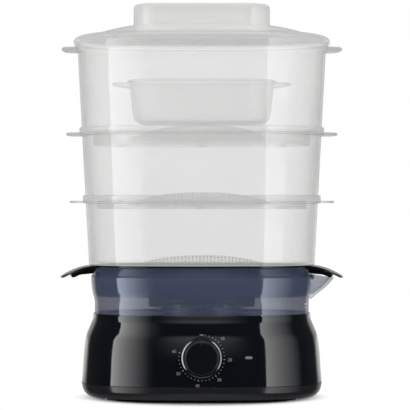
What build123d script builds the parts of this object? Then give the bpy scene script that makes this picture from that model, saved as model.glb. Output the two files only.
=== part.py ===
"""Electric food steamer with three stacking bowls, built as its separate moulded and pressed pieces.

Millimetres, +Z up, front towards -Y, origin on the worktop under the middle of the base.
Every shell follows one oval plan of eight tangent arcs; a section is drawn once as
(offset outwards from that plan, height) and carried round all eight arcs.
"""

import math
import os

from build123d import *

# ---------------------------------------------------------------- plan of the appliance
PLAN_HALF_WIDTH = 120.0
PLAN_HALF_DEPTH = 106.8
PLAN_FRONT_RADIUS = 300.0
PLAN_SIDE_RADIUS = 200.0
PLAN_CORNER_RADIUS = 80.0

# ---------------------------------------------------------------- clearances
STACK_GAP = 0.2
SEAM_GAP = 0.3
SEAT_GAP = 0.2
SLIP_GAP = 0.4

# ---------------------------------------------------------------- bottom cover and feet
FOOT_RISE = 3.0
FOOT_RADIUS = 9.0
FOOT_TAPER = 1.2
FOOT_SOCKET_DEPTH = 2.0
FOOT_INSET = 21.5
FOOT_TURN = 46.5
COVER_HEIGHT = 13.2
COVER_WALL = 2.6
COVER_FLOOR = 3.0
COVER_RIM_OFFSET = 3.7
COVER_TURN_OFFSET = 2.2
COVER_TURN_HEIGHT = 6.0
COVER_BOTTOM_OFFSET = -2.6

# ---------------------------------------------------------------- housing
HOUSING_HEIGHT = 70.5
HOUSING_WALL = 2.8
HOUSING_FOOT_OFFSET = 2.7
HOUSING_BELLY_OFFSET = 1.5
HOUSING_BELLY_HEIGHT = 28.0
HOUSING_SHOULDER_OFFSET = -1.5
HOUSING_SHOULDER_HEIGHT = 49.0
HOUSING_SLOPE_OFFSET = -5.3
HOUSING_SLOPE_HEIGHT = 58.5
HOUSING_NECK_OFFSET = -7.8
HOUSING_NECK_HEIGHT = 64.2
HOUSING_TOP_OFFSET = -8.5
HOUSING_DECK_WIDTH = 15.0
HOUSING_DECK_THICK = 2.8
CASE_SCREW_INSET = 17.0
CASE_SCREW_TURN = 24.0
CASE_BOSS_RADIUS = 4.5
CASE_SCREW_RADIUS = 2.0
CASE_SCREW_HEAD_RADIUS = 3.8
CASE_SCREW_HEAD_THICK = 2.4
CASE_SCREW_LENGTH = 12.0

# ---------------------------------------------------------------- water tank
TANK_HEIGHT = 47.5
TANK_WALL = 2.6
TANK_FLOOR = 2.8
TANK_FLOOR_RISE = 2.8
TANK_FOOT_OFFSET = -9.8
TANK_WAIST_HEIGHT = 12.5
TANK_BULGE_OFFSET = -6.8
TANK_BULGE_HEIGHT = 24.0
TANK_STEP_OFFSET = -6.2
TANK_STEP_HEIGHT = 38.4
TANK_STEP_RISE = 0.6
TANK_COLLAR_OFFSET = -7.5
TANK_RIM_OFFSET = -9.8
TANK_RIM_WALL = 2.4
SPOUT_RADIUS = 23.2
SPOUT_CENTRE_INSET = 7.5
SPOUT_APEX_HEIGHT = 13.4
SPOUT_CONE_HEIGHT = 34.0
SPOUT_LIP_HEIGHT = 8.0
SPOUT_LIP_FLARE = 2.4
SPOUT_TOP_HEIGHT = 38.9
SPOUT_TOP_FALL = 9.0
SPOUT_WALL = 2.2

# ---------------------------------------------------------------- heater
HEATER_HOLE_RADIUS = 42.0
HEATER_CUP_WALL = 1.6
HEATER_CUP_GAP = 0.5
HEATER_FLANGE_WIDTH = 8.0
HEATER_FLANGE_THICK = 1.6
HEATER_CUP_DEPTH = 9.0
HEATER_CUP_FLOOR = 3.0
HEATER_SEAL_THICK = 1.6
HEATER_CLAMP_WIDTH = 8.0
HEATER_CLAMP_THICK = 2.0
HEATER_SCREW_RADIUS = 1.7
HEATER_SCREW_HEAD_RADIUS = 3.0
HEATER_SCREW_HEAD_THICK = 2.0
HEATER_SCREWS = 3
ELEMENT_RING_RADIUS = 28.0
ELEMENT_TUBE_WIDTH = 8.0
ELEMENT_TUBE_HEIGHT = 6.5
ELEMENT_SWEEP = 290.0
ELEMENT_PIN_RADIUS = 1.4
ELEMENT_PIN_LENGTH = 12.0
ELEMENT_PIN_INSET = 8.0
THERMOSTAT_RADIUS = 8.5
THERMOSTAT_THICK = 6.0
THERMOSTAT_TAB = 6.3
THERMOSTAT_TAB_DROP = 8.0
THERMOSTAT_TAB_THICK = 0.8
FUSE_RADIUS = 2.2
FUSE_LENGTH = 14.0
FUSE_OFFSET_Y = 17.0

# ---------------------------------------------------------------- steam ring round the heater
STEAM_RING_INNER_RADIUS = 53.0
STEAM_RING_WALL = 2.0
STEAM_RING_HEIGHT = 13.0
STEAM_RING_NOTCHES = 6
STEAM_RING_NOTCH_WIDTH = 12.0
STEAM_RING_NOTCH_HEIGHT = 4.0
STEAM_RING_LIP = 2.0

# ---------------------------------------------------------------- timer, knob and lamp
DIAL_HEIGHT = 45.7
TIMER_WIDTH = 42.0
TIMER_TALL = 44.0
TIMER_DEPTH = 30.0
TIMER_CORNER = 3.0
TIMER_STANDOFF = 6.0
TIMER_BORE_DEPTH = 14.0
TIMER_SCREW_X = 11.0
TIMER_SCREW_RADIUS = 1.6
TIMER_SCREW_LENGTH = 12.0
TIMER_SCREW_HEAD_RADIUS = 2.8
TIMER_SCREW_HEAD_THICK = 1.6
TIMER_BOSS_RADIUS = 3.6
BELL_RADIUS = 17.0
BELL_DEPTH = 8.0
BELL_SHEET = 1.0
BELL_POST_RADIUS = 3.0
BELL_GAP = 1.0
SHAFT_RADIUS = 3.0
SHAFT_RUNNING_GAP = 0.05
SHAFT_FLAT = 2.2
SHAFT_HOLE_GAP = 2.0
KNOB_RADIUS = 16.2
KNOB_BASE_RADIUS = 18.4
KNOB_DEPTH = 10.2
KNOB_WALL = 1.8
KNOB_FACE_DISH = 0.6
KNOB_EDGE_ROUND = 1.0
KNOB_HUB_RADIUS = 5.5
KNOB_POINTER_WIDTH = 0.9
KNOB_POINTER_LENGTH = 2.6
KNOB_POINTER_DEPTH = 0.4
KNOB_RING_RADIUS = 19.85
KNOB_RING_DEPTH = 2.4
DIAL_SEAT_RADIUS = 20.5
DIAL_SEAT_PROUD = 1.5
LENS_X = 46.6
LENS_WIDTH = 7.4
LENS_HEIGHT = 2.7
LENS_PROUD = 0.3
LENS_FLANGE = 1.8
LENS_FLANGE_THICK = 1.4
LENS_FLANGE_GAP = 0.7
LENS_GAP = 0.15
LAMP_RADIUS = 2.5
LAMP_LENGTH = 11.0
LAMP_HOLDER_WALL = 1.2

# ---------------------------------------------------------------- mains entry and wiring
INLET_HEIGHT = 30.0
INLET_RADIUS = 7.0
INLET_BORE_RADIUS = 3.7
INLET_FLANGE = 2.2
INLET_FLANGE_THICK = 2.0
INLET_FLANGE_GAP = 0.8
TERMINAL_LENGTH = 32.0
TERMINAL_WIDTH = 16.0
TERMINAL_HEIGHT = 12.0
TERMINAL_INSET = 32.8
TERMINAL_Y = PLAN_HALF_DEPTH - TERMINAL_INSET
TERMINAL_POLES = 3
TERMINAL_SCREW_RADIUS = 2.6
TERMINAL_SCREW_PROUD = 0.8
LEAD_RADIUS = 1.3
LEAD_SIDES = 6
LEAD_BEND = 6.0
LEAD_RUN = 24.0

# ---------------------------------------------------------------- drip tray
TRAY_RIM_THICK = 1.2
TRAY_RIM_OFFSET = -9.4
TRAY_WALL = 1.8
TRAY_FLOOR = 2.0
TRAY_DEPTH = 28.0
TRAY_WALL_OFFSET = -12.7
TRAY_WALL_DRAFT = 2.4
CHIMNEY_RADIUS = 32.0
CHIMNEY_WALL = 2.0
CHIMNEY_HEIGHT = 14.0
CHIMNEY_ROOF = 2.0
CHIMNEY_WINDOWS = 8
CHIMNEY_WINDOW_WIDTH = 14.0
CHIMNEY_WINDOW_HEIGHT = 6.0
CHIMNEY_WINDOW_SILL = 5.0
TRAY_GRIP_REACH = 25.5
TRAY_GRIP_DROP = 11.4
TRAY_GRIP_THICK = 2.4
TRAY_GRIP_ARCH = 2.2
TRAY_GRIP_HALF_DEPTH = 46.0
TRAY_GRIP_BODY_REACH = 15.2
TRAY_GRIP_BODY_DROP = 12.6
TRAY_GRIP_BODY_HEIGHT = 8.4
TRAY_GRIP_BODY_HALF_DEPTH = 40.0
TRAY_GRIP_ROUND = 14.0
TRAY_GRIP_GAP = 0.8

# ---------------------------------------------------------------- bowls
BOWL_WALL = 2.0
BOWL_DRAFT = 3.0
BOWL_FOOT_OFFSET = -3.8
BOWL_1_HEIGHT = 64.8
BOWL_2_HEIGHT = 69.3
BOWL_3_HEIGHT = 86.9
BOWL_1_WELL = 8.0
BOWL_2_WELL = 8.0
BOWL_3_WELL = 12.0
WELL_INSET = 11.5
LUG_REACH = 6.0
LUG_WIDTH = 10.0
LUG_THICK = 2.0
LIP_HEIGHT = 6.2
LIP_REACH = 3.8
LIP_WALL = 1.7
TAB_REACH = 16.6
TAB_HALF_DEPTH = 45.0
TAB_THICK = 2.2
TAB_RISE = 0.4
TAB_ROUND = 12.0

# ---------------------------------------------------------------- removable floors
FLOOR_THICK = 2.0
FLOOR_CREST = 9.5
FLOOR_DOME_RADIUS = 84.0
FLOOR_CREST_RADIUS = 30.0
FLOOR_HOLE_RADIUS = 2.4
FLOOR_HOLE_PITCH = 14.0
FLOOR_HOLE_RINGS = 5

# ---------------------------------------------------------------- soup bowl
SOUP_HEIGHT = 44.6
SOUP_WALL = 2.0
SOUP_BOTTOM_OFFSET = -50.0
SOUP_TOP_OFFSET = -45.4
SOUP_RIM_REACH = 2.0
SOUP_RIM_THICK = 2.2
SOUP_TAB_REACH = 17.6
SOUP_TAB_HALF_DEPTH = 30.0
SOUP_TAB_DROP = 4.4
SOUP_TAB_THICK = 2.2
SOUP_TAB_ROUND = 10.0

# ---------------------------------------------------------------- lid
LID_SKIRT_WALL = 2.2
LID_SKIRT_DROP = 1.4
LID_PLUG_DEPTH = 2.6
LID_PLUG_WALL = 1.8
LID_DECK_THICK = 4.4
LID_EDGE_ROUND = 3.0
LID_BREAK_INSET = 12.0
LID_HAUNCH_OFFSET = -12.0
LID_HAUNCH_RISE = 5.5
LID_SHEET = 1.8
LID_SHOULDER_OFFSET = -27.0
LID_SHOULDER_RISE = 9.5
LID_CROWN_OFFSET = -50.0
LID_CROWN_RISE = 12.2
CAP_WIDTH = 139.8
CAP_DEPTH = 95.0
CAP_CORNER = 28.0
CAP_RISE = 22.0
CAP_ROUND = 1.6


# ---------------------------------------------------------------- plan helpers
def corner_centre():
    """Centre of the corner arc at +X +Y, tangent inside both the side arc and the back arc."""
    back_y = PLAN_HALF_DEPTH - PLAN_FRONT_RADIUS
    side_x = PLAN_HALF_WIDTH - PLAN_SIDE_RADIUS
    to_back = PLAN_FRONT_RADIUS - PLAN_CORNER_RADIUS
    to_side = PLAN_SIDE_RADIUS - PLAN_CORNER_RADIUS
    span = math.hypot(side_x, back_y)
    along = (to_side**2 - to_back**2 + span**2) / (2 * span)
    across = math.sqrt(to_side**2 - along**2)
    step_x = -side_x / span
    step_y = back_y / span
    return side_x + along * step_x - across * step_y, along * step_y + across * step_x


def plan_arcs():
    """The eight arcs, anticlockwise from +X: centre, radius, start angle and sweep in degrees."""
    corner_x, corner_y = corner_centre()
    side_x = PLAN_HALF_WIDTH - PLAN_SIDE_RADIUS
    back_y = PLAN_HALF_DEPTH - PLAN_FRONT_RADIUS
    side_end = math.degrees(math.atan2(corner_y, corner_x - side_x))
    back_start = math.degrees(math.atan2(corner_y - back_y, corner_x))
    turn = back_start - side_end
    return [
        ((side_x, 0), PLAN_SIDE_RADIUS, -side_end, 2 * side_end),
        ((corner_x, corner_y), PLAN_CORNER_RADIUS, side_end, turn),
        ((0, back_y), PLAN_FRONT_RADIUS, back_start, 180 - 2 * back_start),
        ((-corner_x, corner_y), PLAN_CORNER_RADIUS, 180 - back_start, turn),
        ((-side_x, 0), PLAN_SIDE_RADIUS, 180 - side_end, 2 * side_end),
        ((-corner_x, -corner_y), PLAN_CORNER_RADIUS, 180 + side_end, turn),
        ((0, -back_y), PLAN_FRONT_RADIUS, 180 + back_start, 180 - 2 * back_start),
        ((corner_x, -corner_y), PLAN_CORNER_RADIUS, 360 - back_start, turn),
    ]


def plan_face(offset, height):
    """The flat oval at a height, grown outwards by an offset."""
    edges = []
    for (x, y), radius, start, sweep in plan_arcs():
        edges.append(Edge.make_circle(radius + offset, Plane((x, y, height)), start, start + sweep))
    return Face(Wire(edges))


def slab(offset, bottom, top):
    """A straight-sided oval plate between two heights."""
    return extrude(plan_face(offset, bottom), top - bottom, dir=(0, 0, 1))


def ring(section):
    """Carry a section, drawn as (offset, height), round the whole plan."""
    sectors = []
    for (x, y), radius, start, sweep in plan_arcs():
        radial = Vector(1, 0, 0).rotate(Axis.Z, start)
        plane = Plane(origin=(x, y, 0), x_dir=radial, z_dir=radial.cross(Vector(0, 0, 1)))
        placed = plane * Pos(radius, 0) * section
        sectors.append(revolve(placed, Axis((x, y, 0), (0, 0, 1)), sweep))
    return sectors[0] + sectors[1:]


def polygon(*points):
    """A flat face through the given points, in order."""
    return make_face(Polyline(*points, close=True))


def turned(points, x=0.0, y=0.0):
    """Revolve a section of (radius, height) points about a vertical axis."""
    return Pos(x, y) * revolve(Plane.XZ * polygon(*points), Axis.Z)


def disc(radius, bottom, top, x=0.0, y=0.0):
    """A vertical round bar between two heights."""
    return Pos(x, y, bottom) * Cylinder(radius, top - bottom, align=(Align.CENTER, Align.CENTER, Align.MIN))


def rod(radius, front, back, x, z):
    """A round bar along Y between two depths."""
    bar = Cylinder(radius, back - front, align=(Align.CENTER, Align.CENTER, Align.MIN))
    return Pos(x, front, z) * Rot(-90, 0, 0) * bar


def block(low, high):
    """A box between two corners."""
    size = [h - l for l, h in zip(low, high)]
    return Pos(*low) * Box(*size, align=(Align.MIN, Align.MIN, Align.MIN))


def four_corners(x, y):
    """The four mirrored places of a point."""
    return [(sx * x, sy * y) for sx in (-1, 1) for sy in (-1, 1)]


def inside_corners(inset, turn):
    """The four places an inset in from the corner arcs, at a turn in degrees from +X."""
    corner_x, corner_y = corner_centre()
    reach = PLAN_CORNER_RADIUS - inset
    angle = math.radians(turn)
    return four_corners(corner_x + reach * math.cos(angle), corner_y + reach * math.sin(angle))


def both_sides(right):
    """A piece and its mirror image across the middle."""
    return right + mirror(right, about=Plane.YZ)


# ---------------------------------------------------------------- heights that follow from the sizes
COVER_BOTTOM = FOOT_RISE
COVER_TOP = COVER_BOTTOM + COVER_HEIGHT
HOUSING_BOTTOM = COVER_TOP + SEAM_GAP
HOUSING_TOP = HOUSING_BOTTOM + HOUSING_HEIGHT
TANK_BOTTOM = HOUSING_TOP + SEAM_GAP
TANK_TOP = TANK_BOTTOM + TANK_HEIGHT
TANK_FLOOR_TOP = TANK_BOTTOM + TANK_FLOOR_RISE + TANK_FLOOR
TRAY_TOP = TANK_TOP + STACK_GAP + TRAY_RIM_THICK
BOWL_1_SEAT = TRAY_TOP + STACK_GAP
BOWL_2_SEAT = BOWL_1_SEAT + BOWL_1_HEIGHT + STACK_GAP
BOWL_3_SEAT = BOWL_2_SEAT + BOWL_2_HEIGHT + STACK_GAP
LID_SEAT = BOWL_3_SEAT + BOWL_3_HEIGHT + LIP_HEIGHT + STACK_GAP
HEATER_TOP = TANK_FLOOR_TOP + HEATER_SEAL_THICK + HEATER_FLANGE_THICK
HEATER_UNDERSIDE = HEATER_TOP - HEATER_CUP_DEPTH - HEATER_CUP_FLOOR


def front_y(offset):
    """Y of the front face, on the middle plane, at an offset from the plan."""
    return -(PLAN_HALF_DEPTH + offset)


def housing_offset(height):
    """Offset of the housing's outer face between its foot and its belly, or belly and shoulder."""
    rise = height - HOUSING_BOTTOM
    if rise < HOUSING_BELLY_HEIGHT:
        share = rise / HOUSING_BELLY_HEIGHT
        return HOUSING_FOOT_OFFSET + share * (HOUSING_BELLY_OFFSET - HOUSING_FOOT_OFFSET)
    share = (rise - HOUSING_BELLY_HEIGHT) / (HOUSING_SHOULDER_HEIGHT - HOUSING_BELLY_HEIGHT)
    return HOUSING_BELLY_OFFSET + share * (HOUSING_SHOULDER_OFFSET - HOUSING_BELLY_OFFSET)


KNOB_BACK = front_y(HOUSING_FOOT_OFFSET + DIAL_SEAT_PROUD)
DIAL_SEAT_FACE = KNOB_BACK + SEAM_GAP
KNOB_FRONT = KNOB_BACK - KNOB_DEPTH
PANEL_INSIDE = front_y(housing_offset(DIAL_HEIGHT)) + HOUSING_WALL
TIMER_FRONT = PANEL_INSIDE + TIMER_STANDOFF


# ---------------------------------------------------------------- base pieces
def bottom_cover():
    """Dark dished cover under the base, with sockets for the feet and holes for the case screws."""
    floor_top = COVER_BOTTOM + COVER_FLOOR
    join = COVER_BOTTOM_OFFSET - 2 * COVER_WALL
    section = polygon(
        (join, COVER_BOTTOM),
        (COVER_BOTTOM_OFFSET, COVER_BOTTOM),
        (COVER_TURN_OFFSET, COVER_BOTTOM + COVER_TURN_HEIGHT),
        (COVER_RIM_OFFSET, COVER_TOP),
        (COVER_RIM_OFFSET - COVER_WALL, COVER_TOP),
        (COVER_BOTTOM_OFFSET - COVER_WALL, floor_top),
        (join, floor_top),
    )
    cover = ring(section) + slab(join, COVER_BOTTOM, floor_top)
    for x, y in inside_corners(FOOT_INSET, FOOT_TURN):
        cover -= disc(FOOT_RADIUS + SEAT_GAP, COVER_BOTTOM, COVER_BOTTOM + FOOT_SOCKET_DEPTH, x, y)
    for x, y in inside_corners(CASE_SCREW_INSET, CASE_SCREW_TURN):
        cover -= disc(CASE_SCREW_RADIUS + SLIP_GAP, COVER_BOTTOM, floor_top, x, y)
    return cover


def feet():
    """Four rubber pads pressed into the cover's sockets."""
    top = COVER_BOTTOM + FOOT_SOCKET_DEPTH - SEAT_GAP
    section = [(0, 0), (FOOT_RADIUS - FOOT_TAPER, 0), (FOOT_RADIUS, FOOT_TAPER), (FOOT_RADIUS, top), (0, top)]
    return Compound(children=[turned(section, x, y) for x, y in inside_corners(FOOT_INSET, FOOT_TURN)])


def case_screws():
    """Four screws up through the cover into the housing's pillars."""
    head_top = COVER_BOTTOM
    screws = []
    for x, y in inside_corners(CASE_SCREW_INSET, CASE_SCREW_TURN):
        head = disc(CASE_SCREW_HEAD_RADIUS, head_top - CASE_SCREW_HEAD_THICK, head_top, x, y)
        shank = disc(CASE_SCREW_RADIUS, head_top, head_top + CASE_SCREW_LENGTH, x, y)
        screws.append(head + shank)
    return Compound(children=screws)


def housing_section():
    """Wall of the housing: near-upright belly, shoulder, hollow neck, and the deck under the tank."""
    low = HOUSING_BOTTOM
    deck_edge = HOUSING_TOP_OFFSET - HOUSING_DECK_WIDTH
    deck_low = HOUSING_TOP - HOUSING_DECK_THICK
    shoulder = low + HOUSING_SHOULDER_HEIGHT
    return polygon(
        (HOUSING_FOOT_OFFSET, low),
        (HOUSING_BELLY_OFFSET, low + HOUSING_BELLY_HEIGHT),
        (HOUSING_SHOULDER_OFFSET, shoulder),
        (HOUSING_SLOPE_OFFSET, low + HOUSING_SLOPE_HEIGHT),
        (HOUSING_NECK_OFFSET, low + HOUSING_NECK_HEIGHT),
        (HOUSING_TOP_OFFSET, HOUSING_TOP),
        (deck_edge, HOUSING_TOP),
        (deck_edge, deck_low),
        (HOUSING_TOP_OFFSET - HOUSING_WALL, deck_low),
        (HOUSING_SHOULDER_OFFSET - HOUSING_WALL, shoulder),
        (HOUSING_BELLY_OFFSET - HOUSING_WALL, low + HOUSING_BELLY_HEIGHT),
        (HOUSING_FOOT_OFFSET - HOUSING_WALL, low),
    )


def lamp_arc():
    """Centre and radius of the plan's arc that the lamp lies on: the front arc or the corner's."""
    corner_x, corner_y = corner_centre()
    front_end = PLAN_FRONT_RADIUS * corner_x / (PLAN_FRONT_RADIUS - PLAN_CORNER_RADIUS)
    if LENS_X < front_end:
        return 0, PLAN_FRONT_RADIUS - PLAN_HALF_DEPTH, PLAN_FRONT_RADIUS
    return corner_x, -corner_y, PLAN_CORNER_RADIUS


def around_front(piece):
    """Swing a piece, built on the middle plane, to the lamp's place along the plan."""
    x, y, radius = lamp_arc()
    angle = math.degrees(math.asin((LENS_X - x) / radius))
    return Pos(x, y) * Rot(0, 0, angle) * Pos(0, PLAN_HALF_DEPTH - radius) * piece


def pill(width, height, front, back):
    """A flat-sided bar with round ends, along Y."""
    outline = SlotOverall(width, height)
    return Pos(0, front, DIAL_HEIGHT) * extrude(Rot(-90, 0, 0) * outline, back - front, dir=(0, 1, 0))


def base_housing():
    """Glossy moulded housing with the dial seat, lamp window and mains hole."""
    shell = ring(housing_section())
    seat_root = PANEL_INSIDE - HOUSING_WALL / 2
    shell += rod(DIAL_SEAT_RADIUS, DIAL_SEAT_FACE, seat_root, 0, DIAL_HEIGHT) - slab(
        HOUSING_SHOULDER_OFFSET - HOUSING_WALL, HOUSING_BOTTOM, HOUSING_TOP
    )
    for side in (-1, 1):
        shell += rod(TIMER_BOSS_RADIUS, seat_root, TIMER_FRONT - SEAT_GAP, side * TIMER_SCREW_X, DIAL_HEIGHT)
    for x, y in inside_corners(CASE_SCREW_INSET, CASE_SCREW_TURN):
        foot = COVER_BOTTOM + COVER_FLOOR + SEAT_GAP
        shell += disc(CASE_BOSS_RADIUS, foot, HOUSING_TOP - HOUSING_DECK_THICK / 2, x, y)
        shell -= disc(CASE_SCREW_RADIUS + SHAFT_RUNNING_GAP, foot, foot + CASE_SCREW_LENGTH, x, y)
    shell -= rod(SHAFT_RADIUS + SHAFT_HOLE_GAP, KNOB_FRONT, TIMER_FRONT, 0, DIAL_HEIGHT)
    for side in (-1, 1):
        shell -= rod(TIMER_SCREW_RADIUS + SEAT_GAP, KNOB_FRONT, TIMER_FRONT, side * TIMER_SCREW_X, DIAL_HEIGHT)
    window = pill(LENS_WIDTH + 2 * LENS_GAP, LENS_HEIGHT + 2 * LENS_GAP, KNOB_FRONT, TIMER_FRONT)
    shell -= around_front(window)
    rear = -front_y(housing_offset(INLET_HEIGHT))
    shell -= rod(INLET_RADIUS + SEAT_GAP, rear - 2 * HOUSING_WALL, rear + HOUSING_WALL, 0, INLET_HEIGHT)
    return shell


def cord_inlet():
    """Moulded grommet in the mains hole, flanged on both faces of the wall."""
    rear = -front_y(housing_offset(INLET_HEIGHT))
    wide = INLET_RADIUS + INLET_FLANGE
    inner = rear - HOUSING_WALL - INLET_FLANGE_GAP
    outer = rear + INLET_FLANGE_GAP
    grommet = rod(wide, inner - INLET_FLANGE_THICK, inner, 0, INLET_HEIGHT)
    grommet += rod(INLET_RADIUS, inner, outer, 0, INLET_HEIGHT)
    grommet += rod(wide, outer, outer + INLET_FLANGE_THICK, 0, INLET_HEIGHT)
    bore = rod(INLET_BORE_RADIUS, inner - 2 * INLET_FLANGE_THICK, outer + 2 * INLET_FLANGE_THICK, 0, INLET_HEIGHT)
    return grommet - bore


def terminal_block():
    """Three-pole block on the cover's floor, with its clamp screws."""
    low = COVER_BOTTOM + COVER_FLOOR
    half = TERMINAL_LENGTH / 2
    body = block(
        (-half, TERMINAL_Y - TERMINAL_WIDTH / 2, low),
        (half, TERMINAL_Y + TERMINAL_WIDTH / 2, low + TERMINAL_HEIGHT),
    )
    pitch = TERMINAL_LENGTH / TERMINAL_POLES
    for pole in range(TERMINAL_POLES):
        x = (pole - (TERMINAL_POLES - 1) / 2) * pitch
        top = low + TERMINAL_HEIGHT
        body += disc(TERMINAL_SCREW_RADIUS, top, top + TERMINAL_SCREW_PROUD, x, TERMINAL_Y)
    return body


# ---------------------------------------------------------------- water tank
def spout_centre_x():
    """X of the upright axis of the filling spout."""
    return PLAN_HALF_WIDTH - SPOUT_CENTRE_INSET


def spout_cone(shrink):
    """The funnel of the filling spout, its surface moved inwards by a wall."""
    apex = TANK_BOTTOM + SPOUT_APEX_HEIGHT
    top = TANK_BOTTOM + SPOUT_CONE_HEIGHT
    lip = top + SPOUT_LIP_HEIGHT
    wide = SPOUT_RADIUS - shrink
    rise = shrink * math.hypot(SPOUT_RADIUS, top - apex) / SPOUT_RADIUS
    section = [(0, apex + rise), (wide, top), (wide + SPOUT_LIP_FLARE, lip), (0, lip)]
    return turned(section, spout_centre_x())


def above_spout():
    """Everything over the spout's mouth, which falls away outwards to pass under the tray's grip."""
    span = 2 * SPOUT_RADIUS
    space = Box(2 * span, 2 * span, span, align=(Align.CENTER, Align.CENTER, Align.MIN))
    return Pos(spout_centre_x(), 0, TANK_BOTTOM + SPOUT_TOP_HEIGHT) * Rot(0, SPOUT_TOP_FALL, 0) * space


def water_tank():
    """Tinted tub on the housing: waist, bulge, stepped collar, floor with the heater hole and a filling spout."""
    low = TANK_BOTTOM
    floor_low = low + TANK_FLOOR_RISE
    collar_low = low + TANK_STEP_HEIGHT
    rim_inner = TANK_RIM_OFFSET - TANK_RIM_WALL
    join = TANK_FOOT_OFFSET - 3 * TANK_WALL
    section = polygon(
        (TANK_FOOT_OFFSET, low),
        (TANK_FOOT_OFFSET, low + TANK_WAIST_HEIGHT),
        (TANK_BULGE_OFFSET, low + TANK_BULGE_HEIGHT),
        (TANK_STEP_OFFSET, collar_low),
        (TANK_COLLAR_OFFSET, collar_low + TANK_STEP_RISE),
        (TANK_RIM_OFFSET, TANK_TOP),
        (rim_inner, TANK_TOP),
        (TANK_COLLAR_OFFSET - TANK_RIM_WALL, collar_low - TANK_RIM_WALL),
        (TANK_BULGE_OFFSET - TANK_WALL, low + TANK_BULGE_HEIGHT),
        (TANK_FOOT_OFFSET - TANK_WALL, low + TANK_WAIST_HEIGHT),
        (TANK_FOOT_OFFSET - TANK_WALL, TANK_FLOOR_TOP),
        (join, TANK_FLOOR_TOP),
        (join, floor_low),
        (TANK_FOOT_OFFSET - TANK_WALL, floor_low),
        (TANK_FOOT_OFFSET - TANK_WALL, low),
    )
    tank = ring(section) + slab(join, floor_low, TANK_FLOOR_TOP)
    keep_out = slab(TANK_FOOT_OFFSET - TANK_WALL / 2, low, TANK_TOP)
    tank += spout_cone(0) - keep_out - above_spout()
    tank -= spout_cone(SPOUT_WALL) - above_spout()
    tank -= disc(HEATER_HOLE_RADIUS, low, TANK_FLOOR_TOP)
    for x, y in heater_screw_places():
        tank -= disc(HEATER_SCREW_RADIUS + SEAT_GAP, low, TANK_FLOOR_TOP, x, y)
    return tank


# ---------------------------------------------------------------- heater
def heater_screw_places():
    """Places of the clamp screws, evenly round the heater's flange."""
    reach = HEATER_HOLE_RADIUS + HEATER_FLANGE_WIDTH / 2
    step = 2 * math.pi / HEATER_SCREWS
    return [(reach * math.sin(i * step), reach * math.cos(i * step)) for i in range(HEATER_SCREWS)]


def heater_cup():
    """Pressed cup that drops through the tank floor, with a flange on the seal."""
    outer = HEATER_HOLE_RADIUS - HEATER_CUP_GAP
    inner = outer - HEATER_CUP_WALL
    wide = HEATER_HOLE_RADIUS + HEATER_FLANGE_WIDTH
    flange_low = HEATER_TOP - HEATER_FLANGE_THICK
    floor_top = HEATER_TOP - HEATER_CUP_DEPTH
    section = [
        (0, HEATER_UNDERSIDE),
        (outer, HEATER_UNDERSIDE),
        (outer, flange_low),
        (wide, flange_low),
        (wide, HEATER_TOP),
        (inner, HEATER_TOP),
        (inner, floor_top),
        (0, floor_top),
    ]
    cup = turned(section)
    for x, y in heater_screw_places():
        cup -= disc(HEATER_SCREW_RADIUS + SEAT_GAP, flange_low, HEATER_TOP, x, y)
    return cup


def flat_ring(inner, outer, bottom, top, hole):
    """A flat washer with the heater's screw holes."""
    washer = disc(outer, bottom, top) - disc(inner, bottom, top)
    for x, y in heater_screw_places():
        washer -= disc(hole, bottom, top, x, y)
    return washer


def heater_seal():
    """Silicone ring between the tank floor and the heater's flange."""
    top = TANK_FLOOR_TOP + HEATER_SEAL_THICK
    wide = HEATER_HOLE_RADIUS + HEATER_FLANGE_WIDTH
    return flat_ring(HEATER_HOLE_RADIUS, wide, TANK_FLOOR_TOP, top, HEATER_SCREW_RADIUS + SEAT_GAP)


def heater_clamp():
    """Steel ring that pulls the heater down on its seal."""
    top = TANK_BOTTOM + TANK_FLOOR_RISE
    wide = HEATER_HOLE_RADIUS + HEATER_CLAMP_WIDTH
    return flat_ring(HEATER_HOLE_RADIUS, wide, top - HEATER_CLAMP_THICK, top, HEATER_SCREW_RADIUS + SEAT_GAP)


def heater_screws():
    """Screws through flange, seal, floor and clamp, with their heads on the flange."""
    low = TANK_BOTTOM + TANK_FLOOR_RISE - HEATER_CLAMP_THICK
    screws = []
    for x, y in heater_screw_places():
        shank = disc(HEATER_SCREW_RADIUS, low, HEATER_TOP, x, y)
        head = disc(HEATER_SCREW_HEAD_RADIUS, HEATER_TOP, HEATER_TOP + HEATER_SCREW_HEAD_THICK, x, y)
        screws.append(shank + head)
    return Compound(children=screws)


def element_end(side):
    """Place of the pin near one end of the element ring."""
    half = math.radians(ELEMENT_SWEEP / 2 - ELEMENT_PIN_INSET)
    return side * ELEMENT_RING_RADIUS * math.sin(half), ELEMENT_RING_RADIUS * math.cos(half)


def heating_element():
    """Flattened sheathed tube bent to an open ring under the cup, with a pin down at each end."""
    top = HEATER_UNDERSIDE
    low = top - ELEMENT_TUBE_HEIGHT
    inner = ELEMENT_RING_RADIUS - ELEMENT_TUBE_WIDTH / 2
    outer = ELEMENT_RING_RADIUS + ELEMENT_TUBE_WIDTH / 2
    section = Plane.XZ * polygon((inner, low), (outer, low), (outer, top), (inner, top))
    element = Rot(0, 0, 90 - ELEMENT_SWEEP / 2) * revolve(section, Axis.Z, ELEMENT_SWEEP)
    for side in (-1, 1):
        x, y = element_end(side)
        element += disc(ELEMENT_PIN_RADIUS, low - ELEMENT_PIN_LENGTH, low, x, y)
    return element


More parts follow.
